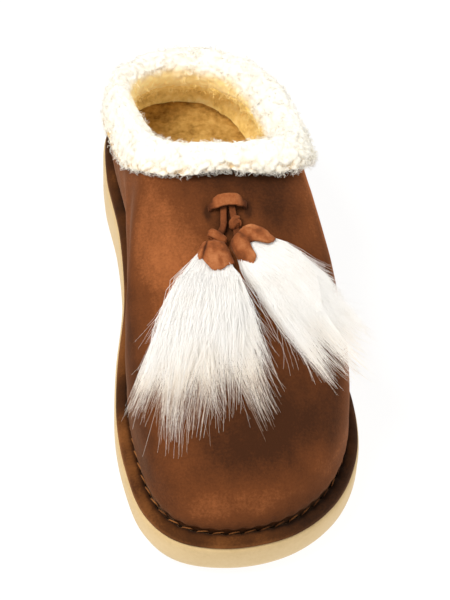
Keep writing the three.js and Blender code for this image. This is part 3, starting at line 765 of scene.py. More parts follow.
sideCreaseRows = [  # degrees round the shoe and share of the way up
    {"line": [(74, 0.35), (82, 0.5), (86, 0.7)], "deep": 0.9, "wide": 4.5},
    {"line": [(92, 0.25), (99, 0.42), (101, 0.66)], "deep": 0.8, "wide": 5},
    {"line": [(112, 0.3), (116, 0.5), (114, 0.72)], "deep": 0.6, "wide": 4.5},
    {"line": [(286, 0.35), (279, 0.5), (275, 0.72)], "deep": 0.9, "wide": 4.5},
    {"line": [(268, 0.25), (262, 0.42), (259, 0.66)], "deep": 0.8, "wide": 5},
    {"line": [(246, 0.3), (243, 0.5), (246, 0.7)], "deep": 0.6, "wide": 4.5},
    {"line": [(158, 0.35), (172, 0.3), (186, 0.32), (200, 0.38)], "deep": 0.7, "wide": 4},
    {"line": [(150, 0.55), (166, 0.52), (182, 0.55)], "deep": 0.55, "wide": 3.6},
]
toneAndLightSet = {  # 0 dark, 1 light: painted shade on faces turned outwards, a painted sheen on the outer wall, painted shadow on the inner wall, darker at the toe, patches at random
    "base": 0.54, "lateral": 0.2, "toe": 0.18, "toeFade": (50, 100), "lateralSheen": 0.36, "medialShadow": 0.14,
    "patches": [(30, 21, 0.1), (11, 22, 0.06)],
}
toneAndLightRows = [  # where the suede is painted lighter or darker, mostly as painted light and shade: plan place, half sizes, amount
    # darker over the toe and the outer vamp: partly the suede's own pile, partly painted shadow of the fur
    {"at": (14, 60), "half": (34, 22), "by": -0.06},
    {"at": (8, 40), "half": (30, 13), "by": -0.2},
    {"at": (0, 27), "half": (28, 12), "by": -0.22},
    {"at": (32, 116), "half": (18, 34), "by": -0.14},
    # painted shade under the cuff's front
    {"at": (18, 144), "half": (24, 13), "by": -0.34},
    {"at": (4, 153), "half": (24, 9), "by": -0.4},
    # painted light on the inner half of the vamp, which faces the light, and painted shadow low on the inner
    # side
    {"at": (-26, 126), "half": (15, 24), "by": 0.12},
    {"at": (-44, 104), "half": (9, 40), "by": -0.2},
    {"at": (-32, 52), "half": (14, 20), "by": 0.12},
    # painted highlights: a lit spot on the outer toe, the toe's lit edge above the stitches, and a sheen
    # along the outer edge
    {"at": (36, 21), "half": (14, 12), "by": 0.55},
    {"at": (-2, 10), "half": (40, 7), "by": 0.26},
    {"at": (42, 146), "half": (8, 26), "by": 0.32},
    # darker just right of the strap
    {"at": (25, 129), "half": (9, 9), "by": -0.2},
    # painted shade round the thong's knots and in the strap's two slits
    {"at": (3, 128), "half": (6, 8), "by": -0.5},
    {"at": (-5, 134), "half": (1.6, 3.4), "by": -0.5},
    {"at": (13, 134), "half": (1.6, 3.4), "by": -0.5},
]


def nearLine(points, line):
    best = np.full(points.shape[:-1], np.inf)
    for first, second in zip(line[:-1], line[1:]):
        along = second - first
        t = np.clip(((points - first) @ along) / (along @ along), 0, 1)
        best = np.minimum(best, np.linalg.norm(points - first - t[..., None] * along, axis=-1))
    return best


def fineLine(line, count=16):
    line = np.array(line, float)
    knots = np.linspace(0, 1, len(line))
    at = np.linspace(0, 1, count)
    return np.column_stack([curveThrough(knots, line[:, i])(at) for i in range(line.shape[1])])


def trough(points, line, row):
    away = nearLine(points, line)
    ends = np.minimum(np.linalg.norm(points - line[0], axis=-1), np.linalg.norm(points - line[-1], axis=-1))
    fade = 0.35 + 0.65 * smooth(ends, 0, 3 * row["wide"])
    ridge = 0.35 * hump(away - 2.2 * row["wide"], 1.2 * row["wide"])
    return row["deep"] * fade * (ridge - hump(away, row["wide"]))


def wallShift(points, turn):  # how far each point of the upper moves along its normal
    along = np.concatenate([np.zeros((1, points.shape[1])), np.cumsum(
        np.linalg.norm(np.diff(points, axis=0), axis=2), axis=0)])
    wave = stitchWave(turn)[None]
    shift = -upperSet["pinch"] * hump(along, upperSet["pinchWide"])
    shift = shift + upperSet["roll"] * hump(along - upperSet["rollAt"], upperSet["rollWide"])
    shift = shift - upperSet["pucker"] * (wave + 1) * hump(along, upperSet["puckerWide"])
    for row in creaseRows:
        plan = fineLine(row["line"])
        line = np.column_stack([plan, heightOver(plan[:, 0], plan[:, 1])])
        shift = shift + trough(points, line, row)
    for row in sideCreaseRows:
        spots = fineLine(row["line"])
        line = np.array([wallPoints(np.radians([d]), [s])[0, 0] for d, s in spots])
        shift = shift + trough(points, line, row)
    return shift + smooth(along, *upperSet["loose"]) * noiseSum(points, upperSet["waves"])


def upperToneAndLight(points, normals):
    x, y = points[..., 0], points[..., 1]
    across = normals[..., 0]
    # painted shade on faces turned to the outer side, away from the light
    nap = toneAndLightSet["base"] - toneAndLightSet["lateral"] * np.clip(across, -0.3, 1)
    nap = nap - toneAndLightSet["toe"] * (1 - smooth(y, *toneAndLightSet["toeFade"]))
    # a painted sheen where the faces turn fully outwards
    nap = nap + toneAndLightSet["lateralSheen"] * smooth(across, 0.6, 0.95)
    # painted shadow on the inner side
    nap = nap - toneAndLightSet["medialShadow"] * smooth(-across, 0.5, 0.95)
    onTop = smooth(normals[..., 2], -0.1, 0.5)
    for row in toneAndLightRows:
        (cx, cy), (hx, hy) = row["at"], row["half"]
        nap = nap + row["by"] * onTop * np.exp(-(((x - cx) / hx) ** 2) - ((y - cy) / hy) ** 2)
    return nap + noiseSum(points, toneAndLightSet["patches"])


def makeUpper():
    turn = ringTurns(upperSet["turns"])
    smoothWall = wallPoints(turn, np.linspace(0, 1, upperSet["rows"]) ** upperSet["rowPower"])
    normals = gridNormals(smoothWall)
    outer = smoothWall + normals * wallShift(smoothWall, turn)[..., None]
    inner = wallPoints(turn, np.linspace(1, 0, upperSet["innerRows"]))
    inner = inner + gridNormals(inner) * upperSet["thick"]
    foot, footIn = [outlineRing(turn, form["creaseInset"] + thick, lambda y: soleTop(y) + form["gap"])
                    for thick in (0, upperSet["thick"])]
    rows = np.concatenate([foot[None], outer, inner, footIn[None]])
    footNap = np.full((1, len(turn)), upperSet["footNap"])
    hidden = np.full((len(inner) + 1, len(turn)), upperSet["hiddenNap"])
    nap = np.concatenate([footNap, upperToneAndLight(outer, normals), hidden])
    return addPiece("upper_suede", rows, gridQuads(*rows.shape[:2], closed=True), brownSuede,
                    ["upper"], {"nap": nap})


makeUpper()


def tube(path, half, facing, sides=10, square=2.4):  # rounded strip along a path
    path, half = np.asarray(path, float), np.asarray(half, float)
    ahead = unit(np.gradient(path, axis=0))
    across = unit(np.cross(facing, ahead))
    up = np.cross(ahead, across)
    angle = np.arange(sides) * 2 * np.pi / sides
    c, s = np.cos(angle), np.sin(angle)
    c, s = np.sign(c) * np.abs(c) ** (2 / square), np.sign(s) * np.abs(s) ** (2 / square)
    return (path[:, None] + across[:, None] * (half[:, :1] * c)[..., None]
            + up[:, None] * (half[:, 1:] * s)[..., None])


def makeStitches():
    rng = np.random.default_rng(stitchSet["seed"])
    steps, sides = stitchSet["steps"], stitchSet["sides"]
    t = np.linspace(-1, 1, steps)
    middles = (np.arange(stitchCount) + 0.5) / stitchCount * creaseAlong[-1]
    parts = []
    for middle in middles:
        long = stitchSet["long"] * rng.uniform(*stitchSet["longVary"])
        at = np.mod(middle + t * long / 2, creaseAlong[-1])
        turn = np.interp(at, creaseAlong, np.append(creaseTurns, 2 * np.pi))
        slant = stitchSet["slant"] * t + rng.normal(0, stitchSet["slantVary"])
        inset = form["creaseInset"] - stitchSet["out"] + slant * 0.5
        place, outward = insetPlan(outlinePlan, turn, inset)
        z = soleTop(place[:, 1]) + form["bandHeight"] + stitchSet["rise"] * (1 - t**4)
        z = z - stitchSet["sunk"] + 0.3 * slant - stitchSet["endDip"] * smooth(np.abs(t), 0.75, 1)
        path = np.column_stack([place, z])
        half = stitchSet["thick"] / 2 * np.sqrt(np.clip(1.02 - t**6, 0.02, 1))
        facing = np.column_stack([outward * 0.6, np.ones(steps)])
        ring = tube(path, np.column_stack([half, half * stitchSet["flat"]]), facing, sides, 2)
        # painted highlight along the middle of each stitch, painted shade towards the outer side
        middleLit = stitchSet["middleHighlight"] * (1 - t**2)[:, None] * np.ones((1, sides))
        lit = stitchSet["nap"] + rng.normal(0, stitchSet["napVary"])
        lit = lit - stitchSet["paintedSideShade"] * place[:, :1] + middleLit
        parts.append((ring, gridQuads(steps, sides), {"nap": lit}))
    points, quads, values = joined(parts)
    return addPiece("crease_stitches", points, quads, threadBrown, (), values)


makeStitches()

# Fleece inside: footbed and lining
footbedSet = {
    "rows": 260, "columns": 90, "underStep": 6, "tuck": 0.5, "edge": 0.8, "edgeWide": 3,
    "heelPad": 2.2, "padFrom": 150, "padTo": 205, "lump": 0.6, "lumps": [(6, 31, 1), (2.6, 32, 0.8)],
    "tip": 0.42, "lumpTip": 0.5, "edgeShade": 0.4, "edgeTipWide": 4, "patch": (9, 33), "hidden": 0.1,
}
cuffShape = {
    "share": (0, 0.22, 0.42, 0.65, 1),
    "lateral": (0.85, 0.9, 0.9, 0.66, 0.9), "medial": (0.85, 0.72, 0.6, 0.52, 0.9),
    "flap": (0.68, 0.86, 0.88, 0.95, 0.95), "lip": (0.5, 0.54, 0.6, 0.9, 1),
    "pileLateral": (1, 1.1, 1.2, 1.5, 1), "pileMedial": (1, 1, 1, 0.95, 1),
}
liningSet = {
    "turns": 460, "rows": 66, "top": 0.97, "under": 4, "inset": 2.0, "least": 2,
    "collarPile": 6.8, "pileFrom": (0, 6), "pileTo": (8, 27), "bedPile": 0.4, "bedWide": 6,
    "lump": 0.8, "lumps": [(6, 41, 1), (2.6, 42, 0.8)], "patch": (14, 43),
    "curls": 1000, "curlsFrom": 140, "elsewhere": 0.03, "seed": 12,
}
liningCurl = {"hairs": 4, "steps": 4, "long": 2.2, "curl": 0.6, "twist": 0.6, "spread": 0.7, "lean": 0.3,
              "drift": (0, 0, -0.25), "width": 0.2, "sunk": 0.3}


def cuffSizes(turn):  # how thick, long and high the cuff is at each turn
    part = halfTurn(turn) / np.pi
    sizes = {name: curveThrough(cuffShape["share"], row)(part)
             for name, row in cuffShape.items() if name != "share"}
    sizes["bulk"] = np.where(onLateral(turn), sizes["lateral"], sizes["medial"])
    sizes["pile"] = np.where(onLateral(turn), sizes["pileLateral"], sizes["pileMedial"])
    return sizes


def makeFootbed():
    inset = form["creaseInset"] + form["wall"] + form["gap"] - footbedSet["tuck"]
    plan, edge = acrossPlan(footbedSet["rows"], footbedSet["columns"], inset)
    x, y = plan[..., 0], plan[..., 1]
    edge = np.minimum(edge, np.minimum(y - y.min(), y.max() - y))
    ground = soleTop(y) + form["gap"]
    under, flat = np.dstack([x, y, ground]), np.dstack([x, y, ground + form["insole"]])
    lump = footbedSet["lump"] * noiseSum(flat, footbedSet["lumps"])
    raised = footbedSet["heelPad"] * smooth(y, footbedSet["padFrom"], footbedSet["padTo"])
    high = flat[..., 2] + lump + raised - footbedSet["edge"] * hump(edge, footbedSet["edgeWide"])
    top = np.dstack([x, y, high])
    bottom = under[::footbedSet["underStep"], ::footbedSet["underStep"]]
    index = np.arange(y.size).reshape(y.shape)
    rim = np.concatenate([index[:, 0], index[-1, 1:], index[:-1, -1][::-1]])
    wall = np.stack([under.reshape(-1, 3)[rim], top.reshape(-1, 3)[rim]])
    # lighter on the lumps and darker between them, and darker at the edge by the lining: painted shade
    tip = footbedSet["tip"] + footbedSet["lumpTip"] * lump
    tip = tip - footbedSet["edgeShade"] * hump(edge, footbedSet["edgeTipWide"])
    pile = {"tip": tip, "shade": 0.5 + 0.5 * softNoise(flat, *footbedSet["patch"])}
    parts = [(top, openQuads(*y.shape), pile)]
    hidden = ((wall, gridQuads(2, len(rim))), (bottom, openQuads(*bottom.shape[:2])))
    for grid, quads in hidden:
        parts.append((grid, quads[:, ::-1], {
            name: np.full(grid.shape[:2], footbedSet["hidden"]) for name in pile}))
    points, quads, values = joined(parts)
    bed = addPiece("footbed_fleece", points, quads, footbedFleece, ["insole"], values)
    return bed


def makeLining():
    rng = np.random.default_rng(liningSet["seed"])
    turn = ringTurns(liningSet["turns"])
    wall = wallPoints(turn, np.linspace(0.0, liningSet["top"], liningSet["rows"]))
    normals = gridNormals(wall)
    lump = liningSet["lump"] * noiseSum(wall, liningSet["lumps"])
    below = wayToRim(wall)
    bed = soleTop(wall[..., 1]) + form["insole"]
    thick = 1.35 * cuffSizes(turn)["pile"] - 0.35  # level with the cuff's inner face
    full = liningSet["collarPile"] * thick
    full = full * smooth(below, *liningSet["pileFrom"]) * (1 - smooth(below, *liningSet["pileTo"]))
    pile = liningSet["inset"] + full + liningSet["bedPile"] * hump(wall[..., 2] - bed, liningSet["bedWide"])
    face = wall - normals * np.maximum(pile - lump, liningSet["least"])[..., None]
    face = np.concatenate([face[:1] - (0, 0, liningSet["under"]), face])  # reaches below the footbed's face
    lump = np.concatenate([lump[:1], lump])
    quads = gridQuads(*face.shape[:2])[:, ::-1]
    centre = face.reshape(-1, 3)[quads[:, 0]]
    wanted = (centre[:, 1] > liningSet["curlsFrom"]).astype(float) + liningSet["elsewhere"]
    spots, inward, _ = pickOnGrid(face, quads, liningSet["curls"], rng, wanted)
    hair = curls(spots, inward, liningCurl, rng)
    # painted shade at the hairs' roots and between the lumps of the pile
    hair[2]["tip"] = 0.4 + 0.4 * hair[2]["tip"]
    plain = {"tip": 0.45 + 0.3 * lump, "shade": 0.5 + 0.5 * softNoise(face, *liningSet["patch"])}
    points, quads, values = joined([(face, quads, plain), hair])
    return addPiece("lining_fleece", points, quads, honeyFleece, (), values)


makeFootbed()
makeLining()

# Cuff: shearling turned out over the collar
cuffSet = {
    "turns": 520, "rows": 104, "curls": 2600, "curlHigh": 0.9, "curlWide": 2.1, "sunk": 2.6, "fuzz": 2000,
    "lumps": [(9, 51, 0.5)], "hem": (0.06, 0.26), "hemShade": (0.06, 0.3), "hemFuzz": (0.1, 0.2),
    "inside": (0.57, 0.68), "insideEdge": [(5, 53, 0.03)],
    "deeper": [(96, 0.75, 0.09), (175, 0.7, 0.06)],  # degrees, half width, how much later the inside begins
    "seed": 21,
}
cuffFuzz = {"hairs": 5, "steps": 4, "long": 2.1, "curl": 0.8, "twist": 0.7, "spread": 1.0, "lean": 0.4,
            "drift": (0, 0, -0.1), "width": 0.2, "sunk": 0.2}
cuffSection = [  # out from the wall, up past the rim: from the hem over the top to the lower edge inside
    (0.4, -16.8), (3.6, -18.3), (6.5, -18.5), (9.6, -13.5), (10, -5), (8.6, 3), (4, 7.5), (-2, 8.4),
    (-8, 6), (-11, 0), (-11.5, -6), (-9.5, -12), (-6, -12.8), (-2.9, -12.5),
]
cuffSlot = [(-2.9, -6), (-2.9, 0.4), (0.4, 0.4), (0.4, -8)]  # takes the wall


def rimPoints(turn, out, up):  # out and up given for every turn
    rays = wallPoints(turn, np.linspace(0.35, 1, 90))
    normals = gridNormals(rays)
    last = len(rays) - 1
    pick = np.array([np.interp(-u, b[::-1], np.arange(last + 1)[::-1]) if u < 0 else last
                     for u, b in zip(up, wayToRim(rays).T)])
    i = np.minimum(pick.astype(int), last - 1)
    part = (pick - i)[:, None]
    j = np.arange(len(turn))
    place = rays[i, j] * (1 - part) + rays[i + 1, j] * part
    normal = unit(normals[i, j] * (1 - part) + normals[i + 1, j] * part)
    ahead = unit(rays[-1] - rays[-2])
    return place + normal * out[:, None] + ahead * np.maximum(up, 0)[:, None]


def cuffGrid(turn):
    sizes = cuffSizes(turn)
    section = np.array(cuffSection)
    steps = np.linalg.norm(np.diff(section, axis=0), axis=1)
    knots = np.concatenate([[0], np.cumsum(steps)])
    at = np.linspace(0, knots[-1], cuffSet["rows"])
    outs, ups = curveThrough(knots, section[:, 0])(at), curveThrough(knots, section[:, 1])(at)
    rows = []
    for out, up in [*zip(outs, ups), *cuffSlot]:
        outBy = out * sizes["bulk"] if out > 0 else out - np.maximum(-3 - out, 0) * (sizes["pile"] - 1)
        upBy = up * (sizes["lip"] if up > 0 else sizes["flap"])
        rows.append(rimPoints(turn, outBy, upBy))
    return np.array(rows)


def curlBumps(points, spots, high, wide, rng):  # one rounded bump on each spot, each of its own height
    tree = KDTree(len(spots))
    for i, spot in enumerate(spots):
        tree.insert(spot, i)
    tree.balance()
    found = [tree.find(point) for point in points.reshape(-1, 3)]
    away = np.array([row[2] for row in found]).reshape(points.shape[:-1])
    which = np.array([row[1] for row in found]).reshape(points.shape[:-1])
    own = high * rng.uniform(0.6, 1.3, len(spots))
    return own[which] * np.clip(1 - (away / wide) ** 2, -0.3, 1)


def makeCuff():
    rng = np.random.default_rng(cuffSet["seed"])
    turn = ringTurns(cuffSet["turns"])
    smoothCuff = cuffGrid(turn)
    rows = len(smoothCuff)
    normals = gridNormals(smoothCuff)
    showing = (np.arange(rows) < cuffSet["rows"]).astype(float)
    quads = gridQuads(rows, len(turn), closed=True)
    wanted = np.repeat(showing, len(turn))
    spots, _, _ = pickOnGrid(smoothCuff, quads, cuffSet["curls"], rng, wanted)
    down = np.linspace(0, 1, rows)[:, None] * np.ones(len(turn))
    deeper = sum(by * hump(np.radians(at) - turn, wide) for at, wide, by in cuffSet["deeper"])
    inside = smooth(down + noiseSum(smoothCuff, cuffSet["insideEdge"]) - deeper, *cuffSet["inside"])
    bumps = curlBumps(smoothCuff, spots, cuffSet["curlHigh"], cuffSet["curlWide"], rng)
    bumps = bumps * (1 - 0.6 * inside) * (0.75 + 0.75 * (1 - smooth(down, *cuffSet["hem"])))
    lump = noiseSum(smoothCuff, cuffSet["lumps"])
    body = smoothCuff + normals * (showing[:, None] * (bumps + lump - cuffSet["sunk"]))[..., None]
    wanted = wanted * (1 + 1.5 * (1 - smooth(down, *cuffSet["hemFuzz"])) - 0.7 * inside).ravel()
    spots, outward, face = pickOnGrid(body, quads, cuffSet["fuzz"], rng, wanted)
    points, hairQuads, hair = curls(spots, outward, cuffFuzz, rng)
    hair["inside"] = np.repeat(inside.ravel()[quads[face, 0]], cuffFuzz["hairs"] * cuffFuzz["steps"] * 2)
    hair["tip"] = 0.8 + 0.2 * hair["tip"]
    # painted shade between the curls, and along the hem, where it is darker and creamier
    depth = np.clip(bumps / cuffSet["curlHigh"], 0, 1)
    hem = 1 - smooth(down, *cuffSet["hemShade"])
    plain = {"tip": 0.6 + 0.4 * depth - 0.5 * hem, "shade": 0.6 + 0.4 * depth - 0.6 * hem, "inside": inside}
    points, quads, values = joined([(body, quads, plain), (points, hairQuads, hair)])
    cuff = addPiece("cuff_shearling", points, quads, whiteShearling, ["cuff"], values)
    return cuff


makeCuff()

# Strap on the instep, thong and its knots
keeperSet = {
    "x": 4, "at": 137, "span": 17, "width": 5.4, "ends": 3, "thick": 1.5, "arch": 4.8, "crown": 0.7,
    "bow": 2, "depth": 3, "steps": 61, "legSteps": 4,
}
thongSet = {"width": 2.8, "thick": 1.8, "steps": 60, "sides": 12}
thongRoute = [
    (-3.6, 119.4), (-1.4, 122.4), (1, 126.5), (1.6, 131), (2.4, 135.5), (4.2, 138.5), (5.6, 135.5),
    (5.9, 131), (6.2, 126), (6.4, 121),
]
knotSet = {"high": 2.3, "thick": 0.75, "coreHalf": 2.6, "coreWide": 1.7, "coreSteps": 9}
knotRows = [
    {"at": (-2.3, 121.6), "heading": -24, "radius": (3.7, 1.6), "rise": 2.6, "turns": 1.8, "tilt": 1.4,
     "wide": 1.3},
    {"at": (6.0, 127.3), "heading": 14, "radius": (1.9, 1.7), "rise": 3.2, "turns": 2.1, "tilt": -0.7,
     "wide": 1.4},
]


def roughened(grid, amount, size, seed):
    shape = grid.shape
    flat = grid.reshape(-1, 3)
    push = np.stack([softNoise(flat, size, seed + i) for i in range(3)], axis=-1)
    return (flat + amount * push).reshape(shape)


def closedEnds(path, half, facing):  # small last rings, so that the ends look closed
    path = np.concatenate([path[:1], path, path[-1:]])
    path[0] += (path[0] - path[2]) * 0.05
    path[-1] += (path[-1] - path[-3]) * 0.05
    half = np.concatenate([half[:1] * 0.05, half, half[-1:] * 0.05])
    return path, half, np.concatenate([facing[:1], facing, facing[-1:]])


def makeKeeper():
    axes = vampFrame(keeperSet["x"], keeperSet["at"])
    thick, legSteps = keeperSet["thick"], keeperSet["legSteps"]
    t = np.linspace(-1, 1, keeperSet["steps"])
    halfSpan = (keeperSet["span"] - thick) / 2
    up = (keeperSet["arch"] - thick) * (1 - smooth(np.abs(t), 0.42, 1.05)) + thick / 2
    up = up + keeperSet["crown"] * (1 - t**2)
    leg = np.linspace(-keeperSet["depth"], 0, legSteps + 1)[:-1]
    across = np.concatenate([np.full(legSteps, -halfSpan), halfSpan * t, np.full(legSteps, halfSpan)])
    up = np.concatenate([leg, up, leg[::-1]])
    outer = np.abs(across) / halfSpan
    path = inFrame(axes, across, up, keeperSet["bow"] * (outer**2 - 0.3))  # the ends bend towards the toe
    wide = keeperSet["width"] + (keeperSet["ends"] - keeperSet["width"]) * smooth(outer, 0.6, 0.92)
    half = np.column_stack([wide / 2, np.full(len(up), thick / 2)])
    outward = unit(np.gradient(path, axis=0))
    facing = np.cross(outward, np.broadcast_to(axes[3], outward.shape))
    grid = roughened(tube(*closedEnds(path, half, facing), 20, 4), 0.16, 1.6, 61)
    # lighter on the raised top, darker low down by the vamp: painted light and shade
    nap = 0.1 + 0.5 * smooth((grid - axes[0]) @ axes[2], 1.5, 4.8) + 0.15 * softNoise(grid, 4, 64)
    quads = gridQuads(*grid.shape[:2])
    return addPiece("keeper_strap", grid, quads, tanSuede, ["keeper"], {"nap": nap})


def coil(axes, middle, radius, rise, turns, tilt, steps=40):  # strip wound round, for a knot
    t = np.linspace(0, 1, steps)
    angle = 2 * np.pi * turns * t
    across = radius[0] * np.cos(angle)
    up = radius[1] * np.sin(angle)
    ahead = rise * (t - 0.5) + tilt * np.cos(angle)
    return inFrame(axes, middle[0] + across, middle[1] + up, middle[2] + ahead)


def knotStrips(row):
    axes = vampFrame(*row["at"], row["heading"])
    high, count, sides = knotSet["high"], knotSet["coreSteps"], thongSet["sides"]
    wound = coil(axes, (0, high, 0), row["radius"], row["rise"], row["turns"], row["tilt"])
    outward = unit(wound - inFrame(axes, 0, high, 0))
    size = np.tile([row["wide"], knotSet["thick"]], (len(wound), 1))
    along = np.linspace(-knotSet["coreHalf"], knotSet["coreHalf"], count)
    core = inFrame(axes, np.zeros(count), high + np.zeros(count), along)
    swell = knotSet["coreWide"] * np.sqrt(np.clip(1 - np.linspace(-1, 1, count) ** 2, 0.01, 1))
    coreStrip = tube(core, np.column_stack([swell, swell]), axes[2], sides, 2)
    return [tube(*closedEnds(wound, size, outward), sides, 3), coreStrip]


def makeThong():
    route = fineLine(thongRoute, thongSet["steps"])
    high = heightOver(route[:, 0], route[:, 1]) + 2 * form["gap"] + thongSet["thick"] / 2
    path = np.column_stack([route, high])
    half = np.tile([thongSet["width"] / 2, thongSet["thick"] / 2], (len(path), 1))
    facing = np.tile([0, 0.4, 1.0], (len(path), 1))
    strips = [tube(*closedEnds(path, half, facing), thongSet["sides"], 3.4)]
    for row in knotRows:
        strips += knotStrips(row)
    parts = []
    for i, strip in enumerate(strips):
        strip = roughened(strip, 0.12, 1.4, 71 + 3 * i)
        # the strip painted darker than its knots, for the shade it lies in
        nap = (0.24 if i == 0 else 0.4) + 0.24 * softNoise(strip, 3.5, 75)
        parts.append((strip, gridQuads(*strip.shape[:2]), {"nap": nap}))
    points, quads, values = joined(parts)
    return addPiece("thong_strip", points, quads, tanSuede, ["thong"], values)


makeKeeper()
makeThong()

# Tassels: a folded cap on each, and the fur that it holds
tasselRows = {
    "medial": {"x": -4.2, "at": 119.2, "heading": -9, "long": 13, "wide": 17, "deep": 9.5,
               "fan": (-35, 5), "bend": (6, 13), "reach": (70, 73, 68), "droop": 0.75,
               "dense": (0.66, 0.5, 0.36, 0.42, 0.5), "brown": (1, 1, 1), "seed": 81},
    "lateral": {"x": 5.0, "at": 122, "heading": 42, "long": 18, "wide": 20, "deep": 9.5,
                "fan": (16, 57), "bend": (20, -12), "reach": (76, 61, 43), "droop": 0.36,
                "dense": (0.42, 0.46, 0.78, 0.94, 0.97), "brown": (0.9, 0.05, 0), "seed": 91},
}
capSet = {
    "sides": 96, "rows": 26, "rowPower": 1.2, "thick": 1.3, "insideFrom": 0.35, "start": 1.4, "seam": 2.15,
    "stations": (0, 0.06, 0.16, 0.55, 1), "rough": 0.14, "roughCell": 1.8, "nap": 0.4, "grooveShade": 0.5,
}
capForm = {  # half sizes at the stations, as shares of the cap's own
    "medial": {"wide": (0.54, 0.58, 0.64, 0.84, 1), "deep": (0.5, 0.74, 0.86, 1, 1.02)},
    "lateral": {"wide": (0.4, 0.56, 0.7, 0.9, 0.9), "deep": (0.4, 0.66, 0.84, 1, 1.0)},
}


def capFolds(side, row, angle):  # how the suede is folded: step, reach, gathers, lobes, and the groove where shade is painted
    ragged = 0.3 * np.sin(5 * angle + row["seed"]) + 0.25 * np.sin(13 * angle)
    away = np.abs(np.mod(angle - capSet["seam"] + np.pi, 2 * np.pi) - np.pi)
    if side == "medial":  # wrapped: the panel on top laps over the one at its left, and ends in a point
        over = np.mod(capSet["seam"] - angle, 2 * np.pi) < np.pi
        step = 0.9 * over * smooth(np.abs(away - np.pi), 0.4, 0.9) - 0.5 * hump(away, 0.1)
        reach = row["long"] - 2 + 5.5 * hump(angle - 1.35, 0.62) - 1.2 * hump(away, 0.16) + ragged
        none = np.zeros_like(angle)
        return step, reach, none, none, hump(away, 0.12)
    pinch = angle - np.pi / 2  # pinched in the middle, so that two lobes stand up
    reach = row["long"] - 2.2 - 7 * hump(pinch, 0.42) + ragged
    gathers = 0.5 * np.cos(11 * angle) * smooth(np.sin(angle), 0, 0.5)
    lobes = 1.1 * (hump(pinch - 0.8, 0.45) + hump(pinch + 0.8, 0.45))
    return -2 * hump(pinch, 0.26), reach, gathers, lobes, 0.6 * hump(pinch, 0.16)


def makeCap(side):
    row = tasselRows[side]
    axes = vampFrame(row["x"], row["at"], row["heading"])
    angle = ringTurns(capSet["sides"])  # 0 to the right, a quarter turn on top
    along = np.linspace(0, 1, capSet["rows"]) ** capSet["rowPower"]
    step, reach, gathers, lobes, groove = capFolds(side, row, angle)
    wide, deep = [curveThrough(capSet["stations"], capForm[side][name])(along) * row[name] / 2
                  for name in ("wide", "deep")]

    def skin(shrink, first):
        rows = []
        for part, w, d in zip(along, wide, deep):
            if part < first:
                continue
            grow = step * (0.35 + 0.65 * part) + gathers * (1 - part) ** 2
            grow = grow + lobes * math.sin(np.pi * part) - shrink
            a, u = (w + grow) * np.cos(angle), (d + grow) * np.sin(angle)
            up = np.maximum(row["deep"] / 2 + 0.6 + u, 0.5)
            rows.append(inFrame(axes, a, up, capSet["start"] + (reach - capSet["start"]) * part))
        return rows

    rows = skin(0, 0) + skin(capSet["thick"], capSet["insideFrom"])[::-1]
    tip = rows[0].mean(axis=0)
    rows = [tip + (rows[0] - tip) * 0.05] + rows
    grid = roughened(np.array(rows), capSet["rough"], capSet["roughCell"], row["seed"])
    # lighter on top: painted light; darker in the seam or the pinch: painted shade
    depth = np.linspace(0.1, 0.3, len(rows))[:, None]
    patches = [(5, row["seed"] + 5, 0.2), (1.8, row["seed"] + 6, 0.16)]
    nap = capSet["nap"] + depth * np.maximum(np.sin(angle), 0) - capSet["grooveShade"] * groove
    nap = nap + noiseSum(grid, patches)
    return addPiece("tassel_cap_suede_" + side, grid, gridQuads(*grid.shape[:2]), tanSuede,
                    ["tassel_cap_" + side], {"nap": nap})


furSet = {
    "hairs": 13600, "steps": 7, "stepPower": 1.35, "width": 0.21, "most": 1.12, "apart": 0.16,
    "layerApart": 0.2, "gather": 0.94, "turn": 4, "stray": 0.07, "strayTurn": 14, "strayLift": 5,
    "clumps": 84, "clumpReach": (0.84, 1.08), "clumpSway": 9, "clumpWave": 7, "wispy": 0.32,
    "locks": 16, "lockReach": (0.8, 1.08), "lockSway": 17, "lockSplay": 9, "lockWave": 5, "toLock": 0.45,
    "pull": 0.6, "strayPull": 0.15, "axisSteps": 30, "axisMore": 1.2, "axisLayer": 0.6,
    "coreRows": 16, "coreColumns": 30, "coreLayer": 0.92, "coreMore": -0.06, "coreMost": 0.74,
}


def furSteps(steps):  # shorter steps towards the tips
    return 1 - (1 - np.linspace(0, 1, steps)) ** furSet["stepPower"]


def furPaths(row, spread, layer, reach, turnBy, liftBy, waveBy, steps):
    # spread and layer hold a value for each hair and step; the hair lies on the vamp or hangs past its side
    axes = vampFrame(row["x"], row["at"], row["heading"])
    share = furSteps(steps)
    paths = np.empty((len(reach), steps, 3))
    paths[:, 0] = inFrame(axes, (spread[:, 0] - 0.5) * row["wide"] * 0.5,
                          1.6 + layer[:, 0] * (row["deep"] - 4.4), 0.3 * row["long"])
    slope = axes[3][2] / np.hypot(*axes[3][:2])
    for i in range(1, steps):
        u = spread[:, i]
        step = reach * (share[i] - share[i - 1])
        bend = row["bend"][0] + (row["bend"][1] - row["bend"][0]) * u
        heading = np.radians(row["fan"][0] + (row["fan"][1] - row["fan"][0]) * u + bend * share[i]
                             + turnBy * share[i] ** 2.2 + waveBy * np.sin(7 * share[i] + 90 * waveBy))
        before = paths[:, i - 1]
        x = before[:, 0] + step * np.sin(heading)
        y = before[:, 1] - step * np.cos(heading)
        thick = 9 * (1 - 0.5 * share[i]) + 5.5 * np.sin(np.pi * share[i]) - 3.2 * share[i] ** 3
        lying = heightOver(x, y) + 0.7 + thick * layer[:, i] + liftBy * share[i]
        mouth = smooth(reach * share[i], 0.5 * row["long"], 1.6 * row["long"])
        held = before[:, 2] + step * slope
        z = np.maximum(lying * mouth + held * (1 - mouth), before[:, 2] - step * row["droop"])
        paths[:, i] = np.column_stack([x, y, z])
    return paths


